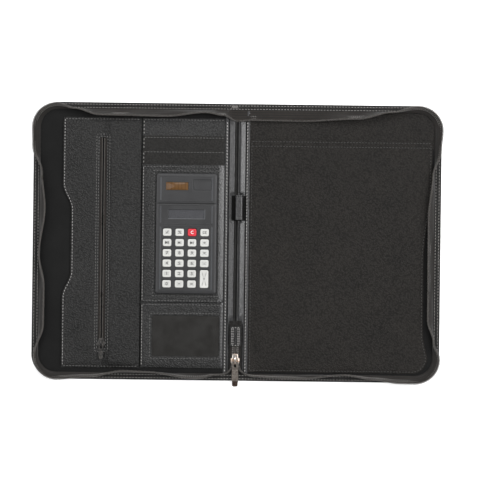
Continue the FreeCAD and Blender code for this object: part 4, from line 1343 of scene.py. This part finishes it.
def loop_section(y, shrink, flare=0.0):
    """Soft arch of the pen loop: round above, flat where it is sewn down."""
    x = np.sin(loop_angles)
    z = -np.cos(loop_angles)
    width = loop_half - shrink + flare
    height = (LOOP.z1 - LOOP.z0) / 2 - shrink + flare
    flat = np.sign(z) * np.abs(z) ** np.where(z < 0, 0.5, 0.75)
    wide = np.sign(x) * np.abs(x) ** 0.55
    dent = 0.12 * ripple(loop_angles * 3, y + 0 * loop_angles, 9, 61)
    sag = -0.55 * hump(x, 0.45) * (z > 0)
    return np.column_stack([loop_x + wide * (width + dent * 0.5), np.full(len(x), y),
                            loop_z + flat * height + sag * (1 - shrink / 2)])


def make_pen_loop():
    ys = np.linspace(LOOP.y0, LOOP.y1, 34)
    outer = []
    for y in ys:
        edge = min(y - LOOP.y0, LOOP.y1 - y)
        bead = 0.18 * math.exp(-(edge - 1.0) ** 2 / 0.5) - 0.2 * math.exp(-(edge - 2.4) ** 2 / 0.3)
        outer.append(loop_section(y, 0.22, bead))
    inner = [loop_section(y, 1.05) for y in ys[::-1]]
    low_end = loop_section(ys[0] + 0.1, 0.6)
    high_end = loop_section(ys[-1] - 0.1, 0.6)
    soup = Soup()
    soup.add(*loft(np.array([low_end] + outer + [high_end] + inner + [low_end])))
    # Near-black cloth base under the loop, reaching 3.2 mm to its left: painted shadow of the loop.
    base = rounded_rect(LOOP.x0 - 3.2, LOOP.x1 + 0.2, LOOP.y0 + 0.3, LOOP.y1 - 0.3, 0.8, 2.0, 4)
    stack(soup, base, ((0, LOOP.z0), (0, LOOP.z0 + 0.45), (0.3, LOOP.z0 + 0.6)), mark=1)
    build("pen_loop_sleeve", soup, [PU_GLOSS_AND_HIGHLIGHT, BAG_CLOTH_AND_SHADOW], body="spine",
          replaces=["pen_loop"])
    threads = Soup()
    for y in (LOOP.y0 + 2.4, LOOP.y1 - 2.4):
        ring = loop_section(y, 0.3)[8:-7]
        ups = unit(ring - np.array([loop_x, y, loop_z]))
        stitch_run(threads, ring, pitch=2.4, length=1.7, radius=0.22, ups=ups)
    build("pen_loop_stitches", threads, THREAD_DARK, body="spine")


make_pen_loop()


# ---------------------------------------------------------------- zip end tab
def make_end_tab():
    soup = Soup()
    top = TAB.z1
    base = rounded_rect(*TAB.plan, 1.8, 2.0, 5)
    stack(soup, base, ((0, TAB.z0), (0, top - 1.4), (0.15, top - 0.8), (0.55, top - 0.35),
                       (1.2, top - 0.16), (1.7, top - 0.24), (2.2, top - 0.1),
                       (3.4, top + 0.08)))
    build("zip_tail_tab", soup, PU, body="spine", replaces=["zip_end_tab"])
    threads = Soup()
    for x in (TAB.x0 + 2.6, TAB.x0 + 4.2, TAB.x1 - 4.2, TAB.x1 - 2.6):
        line = open_line([(x, TAB.y0 + 2, top - 0.05), (x, TAB.y1 - 2, top - 0.05)], 2.0)
        stitch_run(threads, line, pitch=2.9, length=2.2, radius=0.42)
    for y in (TAB.y0 + 1.4, TAB.y1 - 1.6):
        line = open_line([(TAB.x0 + 2, y, top - 0.15), (TAB.x1 - 2, y, top - 0.15)], 2.0)
        stitch_run(threads, line, pitch=2.6, length=1.9, radius=0.36)
    # The tab's stitches are in the lighter thread: painted highlight.
    build("tab_stitches", threads, THREAD_HIGHLIGHT, body="spine")


make_end_tab()


# ---------------------------------------------------------------- sliders
def slider_outline(x, mouth, length, width, nose):
    """Seen from above: flared shoulders at the mouth, narrow rounded nose."""
    half = width / 2
    tip = nose / 2
    key = [(0.22 * width, 0), (0.4 * width, 0.02 * length), (half, 0.14 * length),
           (half, 0.3 * length), (half * 0.92, 0.45 * length), (tip * 1.1, 0.58 * length),
           (tip, 0.72 * length), (tip, 0.93 * length), (tip * 0.8, length)]
    right = [(x + a, mouth + b) for a, b in key]
    left = [(x - a, mouth + b) for a, b in key[::-1]]
    return softened(dense(right + left, 0.7), 2)


def rounded_plate(soup, outline, z0, z1, bevel, dome=0.0):
    stack(soup, outline, ((bevel, z0), (bevel * 0.3, z0 + bevel * 0.3), (0, z0 + bevel),
                          (0, z1 - bevel), (bevel * 0.3, z1 - bevel * 0.3), (bevel, z1),
                          (bevel + 0.8, z1 + dome * 0.6), (bevel + 1.8, z1 + dome)))


def bar(soup, box, z0, z1, bevel=0.15, mark=0):
    """A block with bevelled edges over a box (x0, x1, y0, y1)."""
    outline = rounded_rect(*box, bevel * 1.5, 5.0, 4)
    stack(soup, outline, ((bevel, z0), (0, z0 + bevel), (0, z1 - bevel), (bevel, z1)), mark)


def bail(soup, x, points, half_width, thick):
    """The arched strip over a slider that holds its pull. points are its (y, z)."""
    line = smooth_line([(x, y, z) for y, z in points], 40)
    across = np.array([1.0, 0, 0])
    normal = np.cross(across, unit(np.gradient(line, axis=0)))
    flat = half_width - 0.25 * thick
    corners = ((-half_width, 0), (-flat, -thick / 2), (flat, -thick / 2), (half_width, 0),
               (flat, thick / 2), (-flat, thick / 2))
    rings = [[point + across * a + up * b for a, b in corners] for point, up in zip(line, normal)]
    soup.add(*loft(np.array(rings), caps=True))


def make_slider(name, node_name, material, size, tape_top, rows_top, post, plate):
    """Two plates joined by a post, with side flanges, and a bail on top."""
    place = Box(node_name)
    length, width, nose = size
    x, mouth = place.cx, place.y0
    under = place.z0
    over = rows_top + 0.3
    soup = Soup()
    outline = slider_outline(x, mouth, length, width, nose)
    rounded_plate(soup, outline, under, under + plate, 0.2)
    rounded_plate(soup, outline, over, over + plate, 0.25, dome=0.12)
    bar(soup, (x - post / 2, x + post / 2, mouth + 0.2, mouth + 0.3 * length), under + 0.1,
        over + 0.2)
    for side in (-1, 1):
        a = x + side * (width / 2 - 0.1)
        b = x + side * (width / 2 - 0.1 - 0.16 * width * 0.62)
        flange = (min(a, b), max(a, b), mouth + 0.13 * length, mouth + 0.58 * length)
        bar(soup, flange, tape_top + 0.2, over + 0.3, 0.2)
    top = over + plate
    peak = place.z1 - 0.45
    low_y = mouth + 0.06 * length + 0.5
    high_y = mouth + 0.70 * length - 0.5
    bail(soup, x, [(low_y, top - 0.4), (low_y, (top + peak) / 2), (low_y + 0.5, peak - 0.15),
                   (low_y + 1.4, peak), (high_y - 2.6, peak), (high_y - 0.9, peak - 0.6),
                   (high_y, top + 0.7), (high_y + 0.2, top - 0.4)], half_width=0.98, thick=0.85)
    build(name, soup, material, body=node_name, replaces=[node_name], sharp=60)


make_slider("zip_slider", "main_slider", SLIDER, size=(13.0, 10.9, 7.2),
            tape_top=4.5, rows_top=6.0, post=2.0, plate=0.8)
make_slider("pocket_zip_slider", "pocket_slider", BLACK_METAL,
            size=(10.3, 10.3, 6.4), tape_top=5.5, rows_top=6.7, post=1.2, plate=0.6)


def make_pull(name, node_name, materials, pin, width, reach, thick, droop, window_end,
              pin_thick, tip_from=None):
    """Flat pull on its pin: two arms, a waisted blade with a raised rim and cross ribs."""
    x, pin_y, pin_z = pin
    half = width / 2

    def blade():
        key = [(half * 0.9, 0.3), (half, -1.2), (half, -window_end - 1.0),
               (half * 0.93, -window_end - 3.4), (half, -reach * 0.6), (half, -reach * 0.76),
               (half * 0.86, -reach * 0.8), (half * 0.86, -reach * 0.97), (half * 0.7, -reach)]
        ring = dense([(x + a, b) for a, b in key] + [(x - a, b) for a, b in key[::-1]], 0.8)
        return [tuple(p) for p in softened(ring, 3)[::-1]]

    arm_in = 1.3
    hole = rounded_rect(x - arm_in, x + arm_in, -window_end, -0.1, 0.7, 0.8, 5)

    def face(px, py):
        rim = edge_distance(np.column_stack([px, py]), [blade()])
        field = ease(0.9, 1.5, rim) * (py < -window_end - 1.8)
        ribs = 0.5 + 0.5 * np.cos((py + window_end) * 2 * math.pi / 2.1)
        ribbed = ease(window_end + 2.5, window_end + 4.0, -py)
        ribbed = ribbed * (1 - ease(reach * 0.74, reach * 0.8, -py))
        return thick / 2 - 0.28 * field + 0.24 * field * ribs * ribbed

    soup = Soup()
    panel(soup, blade(), [hole], face, lambda px, py: -face(px, py), roll=0.25, step=0.55)
    if tip_from:
        soup.marks = [int(middle[1] < -tip_from) for middle in soup.middles()]
    turn = math.radians(droop)
    px, py, pz = np.array(soup.verts).T
    soup.verts = np.column_stack([px, pin_y + py * math.cos(turn) - pz * math.sin(turn),
                                  pin_z + py * math.sin(turn) + pz * math.cos(turn)]).tolist()
    ends = [(x + part * half * 0.8, pin_y, pin_z) for part in (-1, 0, 1)]
    soup.add(*tube(ends, pin_thick / 2, sides=12))
    build(name, soup, materials, body=node_name, replaces=[node_name], sharp=50)


make_pull("zip_pull", "main_pull", [PULL, PULL_TIP], pin=(0, -149.52, 8.3),
          width=8.4, reach=30.9, thick=1.4, droop=4.0, window_end=6.9, pin_thick=1.2,
          tip_from=24.0)
make_pull("pocket_zip_pull", "pocket_pull", [BLACK_METAL, PULL_TIP],
          pin=(slot_x, -129.382, 8.6), width=6.0, reach=18.5, thick=1.2, droop=2.5,
          window_end=5.6, pin_thick=1.0)


# ---------------------------------------------------------------- calculator
face_z = CALC.z1 - 0.3
groove_y = CALC.y1 - 37.0     # joint between the two plates of the calculator's face
groove_half = 0.55
plate_thick = 1.1
wall_thick = 1.4
calculator_corner = 2.4


def on_face(box):
    """(x0, x1, y0, y1) of a box given from the calculator's outer top corner."""
    x0, x1, y0, y1 = box
    return (CALC.x0 + x0, CALC.x0 + x1, CALC.y1 - y1, CALC.y1 - y0)


display = on_face((15.4, 59.9, 44.6, 55.1))
solar_window = on_face((11.7, 39.7, 10.3, 20.1))
badge = on_face((46.1, 68.5, 7.2, 20.1))
face_frames = (on_face((5.5, 69.6, 3.2, 33.8)), on_face((5.5, 69.6, 38.8, 62.2)),
               on_face((5.5, 69.6, 65.1, 145.1)))
legends = {
    "key_root": "√", "key_percent": "%", "key_clear": "C", "key_clear_entry": "CE",
    "key_memory_recall": "MR", "key_memory_minus": "M-", "key_memory_plus": "M+",
    "key_divide": "÷", "key_7": "7", "key_8": "8", "key_9": "9", "key_multiply": "×",
    "key_4": "4", "key_5": "5", "key_6": "6", "key_minus": "-",
    "key_1": "1", "key_2": "2", "key_3": "3", "key_plus": "+",
    "key_0": "0", "key_point": "•", "key_equals": "=",
}
key_half_x = 5.35
key_gap = 0.35
tall_half_y = 11.18
low_half_y = 4.6


def key_box(name):
    """Middle of a key's cap and the box that it covers."""
    key = Box(name)
    half_y = tall_half_y if key.y1 - key.y0 > 15 else low_half_y
    cap = (key.cx - key_half_x, key.cx + key_half_x, key.cy - half_y, key.cy + half_y)
    return key.cx, key.cy, cap


def bead(soup, outline, width, base, height):
    """A raised line along a closed outline."""
    outline = np.array(outline)
    flip = turning(outline)
    profile = ((-0.5, -0.1), (-0.42, 0.7), (-0.2, 1.0), (0.2, 1.0), (0.42, 0.7), (0.5, -0.1))
    soup.add(*loft([at_height(inward(outline, across * width, flip), base + up * height)
                    for across, up in profile + profile[:1]]))


def calculator_face(x, y):
    """Height of the calculator's face, lower along its rim."""
    edge = np.minimum(np.minimum(x - CALC.x0, CALC.x1 - x), np.minimum(y - CALC.y0, CALC.y1 - y))
    return face_z - 0.35 * (1 - ease(0.0, 2.2, edge))


def make_calculator():
    """Shell in two plates with a groove between them, frames, badge plate and solar cell."""
    soup = Soup()
    x0, x1, y0, y1 = CALC.plan
    r = calculator_corner
    low_plate = dense([(x0, groove_y - groove_half)] + arc(x0 + r, y0 + r, r, 180, 270, 7)
                      + arc(x1 - r, y0 + r, r, 270, 360, 7) + [(x1, groove_y - groove_half)], 3.0)
    high_plate = dense([(x1, groove_y + groove_half)] + arc(x1 - r, y1 - r, r, 0, 90, 7)
                       + arc(x0 + r, y1 - r, r, 90, 180, 7) + [(x0, groove_y + groove_half)], 3.0)
    low_holes = [rounded_rect(*grown(key_box(name)[2], key_gap), 2.3, 3.0, 6)
                 for name in legends]
    low_holes.append(rounded_rect(*display, 0.6, 3.0, 4))
    high_holes = [rounded_rect(*box, 0.6, 3.0, 4) for box in (solar_window, badge)]
    for plate, holes in ((low_plate, low_holes), (high_plate, high_holes)):
        panel(soup, plate, holes, calculator_face, lambda x, y: face_z - plate_thick + 0 * x,
              roll=0.45, step=3.2)
    # A near-black bar under the groove between the plates: painted shade.
    bar(soup, (x0 + 0.6, x1 - 0.6, groove_y - 1.6, groove_y + 1.6), face_z - 1.3,
        face_z - 0.75, 0.1, mark=1)
    outline = np.array(rounded_rect(*grown(CALC.plan, -0.1), r, 3.0, 7))
    wall = ((0, CALC.z0), (0, face_z - 0.9), (wall_thick, face_z - 0.9), (wall_thick, CALC.z0),
            (0, CALC.z0))
    soup.add(*loft([at_height(inward(outline, distance, 1), z) for distance, z in wall]))
    for x0, x1, y0, y1 in face_frames:
        bead(soup, rounded_rect(x0, x1, y0, y1, 1.0, 3.0, 5), 0.9, face_z, 0.3)
        for x in (x0, x1):
            bar(soup, (x - 0.75, x + 0.75, y0 + 1, y1 - 1), face_z - 0.1, face_z + 0.3, 0.12,
                mark=2)
    bar(soup, grown(badge, -0.1), face_z - 1.0, face_z - 0.25, 0.15)
    bead(soup, rounded_rect(*grown(badge, -1.6), 0.8, 3.0, 4), 0.5, face_z - 0.25, 0.18)
    for box in (solar_window, display):
        bead(soup, rounded_rect(*grown(box, 0.7), 1.0, 3.0, 5), 1.2, face_z - 0.05, 0.22)
    x0, x1, y0, y1 = display
    # Light bars along the display's lower and right edges: painted highlight.
    bar(soup, (x0 - 0.6, x1 + 1.2, y0 - 1.2, y0 - 0.2), face_z - 0.1, face_z + 0.25, 0.1, mark=2)
    bar(soup, (x1 + 0.2, x1 + 1.2, y0 - 0.6, y1 + 0.6), face_z - 0.1, face_z + 0.26, 0.1, mark=2)
    build("calculator_shell", soup, [CASE, CASE_GROOVE_SHADE, CASE_RAILS_AND_HIGHLIGHT], body="front_cover",
          replaces=["calculator_front_case"], sharp=35)
    cell = Soup()
    bar(cell, grown(solar_window, -0.1), face_z - 1.2, face_z - 0.45, 0.1)
    build("solar_cell_plate", cell, SOLAR, body="front_cover",
          replaces=["solar_cell"])


def glyph(text, size, x, y, z):
    """Mesh of a legend lying flat."""
    curve = bpy.data.curves.new("legend", "FONT")
    curve.body = text
    curve.size = size
    curve.align_x = "CENTER"
    curve.align_y = "CENTER"
    curve.extrude = 0.05
    curve.offset = 0.012 * size
    curve.resolution_u = 3
    holder = link("legend", curve)
    bpy.context.view_layer.update()
    shaped = holder.evaluated_get(bpy.context.evaluated_depsgraph_get())
    mesh = bpy.data.meshes.new_from_object(shaped)
    verts = [(x + v.co.x, y + v.co.y, z + v.co.z) for v in mesh.vertices]
    faces = [tuple(p.vertices) for p in mesh.polygons]
    bpy.data.objects.remove(holder)
    bpy.data.curves.remove(curve)
    bpy.data.meshes.remove(mesh)
    return verts, faces


def make_keys():
    top = Box("key_5").z1
    cap_levels = ((0.2, top - 2.5), (0, top - 2.3), (0, top - 0.75), (0.08, top - 0.45),
                  (0.28, top - 0.18), (0.65, top - 0.03), (1.1, top), (1.7, top - 0.05),
                  (2.8, top - 0.12))
    for name, text in legends.items():
        x, y, cap = key_box(name)
        soup = Soup()
        stack(soup, rounded_rect(*cap, 2.0, 1.4, 6), cap_levels)
        size = 4.1 if len(text) > 1 else 5.6
        soup.add(*glyph(text, size, x, y, top - 0.08), mark=1)
        red = name == "key_clear"
        build(name + "_cap", soup, [KEY_RED, PRINT_WHITE] if red else [KEY, PRINT], body=name,
              replaces=[name])


make_calculator()
make_keys()


# ---------------------------------------------------------------- CAD pieces shown as they are
for name, material in (("calculator_back_case", CASE), ("circuit_board", CIRCUIT),
                       ("key_membrane", RUBBER), ("lcd_panel", LCD), ("display_lens", LENS),
                       ("zip_pocket_bag", BAG_CLOTH_AND_SHADOW)):
    shown = frame["nodes"][name]
    shown.data.materials.clear()
    shown.data.materials.append(material)


# ---------------------------------------------------------------- camera, lights and floor
# Straight above the open case, turned a little.
camera_data = bpy.data.cameras.new("camera")
camera_data.lens = 91.8
camera_data.sensor_width = 36
camera = link("camera", camera_data)
camera_height = 1.6
camera.location = (0.0169, -0.0094, camera_height)
camera.rotation_euler = (0, 0, math.radians(0.7))
bpy.context.scene.camera = camera


def area_light(name, place, size, power):
    """A rectangular light aimed at the middle of the case."""
    data = bpy.data.lights.new(name, "AREA")
    data.shape = "RECTANGLE"
    data.size, data.size_y = size
    data.energy = power
    lamp = link(name, data)
    lamp.location = place
    lamp.rotation_euler = (-Vector(place)).to_track_quat("-Z", "Y").to_euler()


area_light("right_softbox", (1.15, 0.25, 1.6), (0.8, 1.5), 27)
area_light("top_softbox", (0.1, 1.5, 1.6), (2.0, 1.0), 30)
area_light("left_softbox", (-1.3, 0.1, 1.5), (0.9, 1.6), 15)
area_light("front_softbox", (0.0, -1.7, 1.3), (2.0, 0.8), 8)
world = bpy.data.worlds.new("studio")
bpy.context.scene.world = world
world.use_nodes = True
sky = world.node_tree.nodes["Background"]
sky.inputs["Color"].default_value = (1, 1, 1, 1)
sky.inputs["Strength"].default_value = 0.16

floor_half = 6.0
floor_mesh = bpy.data.meshes.new("floor")
floor_corners = [(-floor_half, -floor_half, 0), (floor_half, -floor_half, 0),
                 (floor_half, floor_half, 0), (-floor_half, floor_half, 0)]
floor_mesh.from_pydata(floor_corners, [], [(0, 1, 2, 3)])
floor = link("floor", floor_mesh)
floor.location = (0, 0, -0.3 * MM)
sweep = Look("white_sweep", (0.9, 0.9, 0.9), 0.7)
sweep.shader.inputs["Emission Color"].default_value = (1, 1, 1, 1)
sweep.shader.inputs["Emission Strength"].default_value = 0.45
floor_mesh.materials.append(sweep.material)
bpy.context.scene.view_settings.view_transform = "Standard"
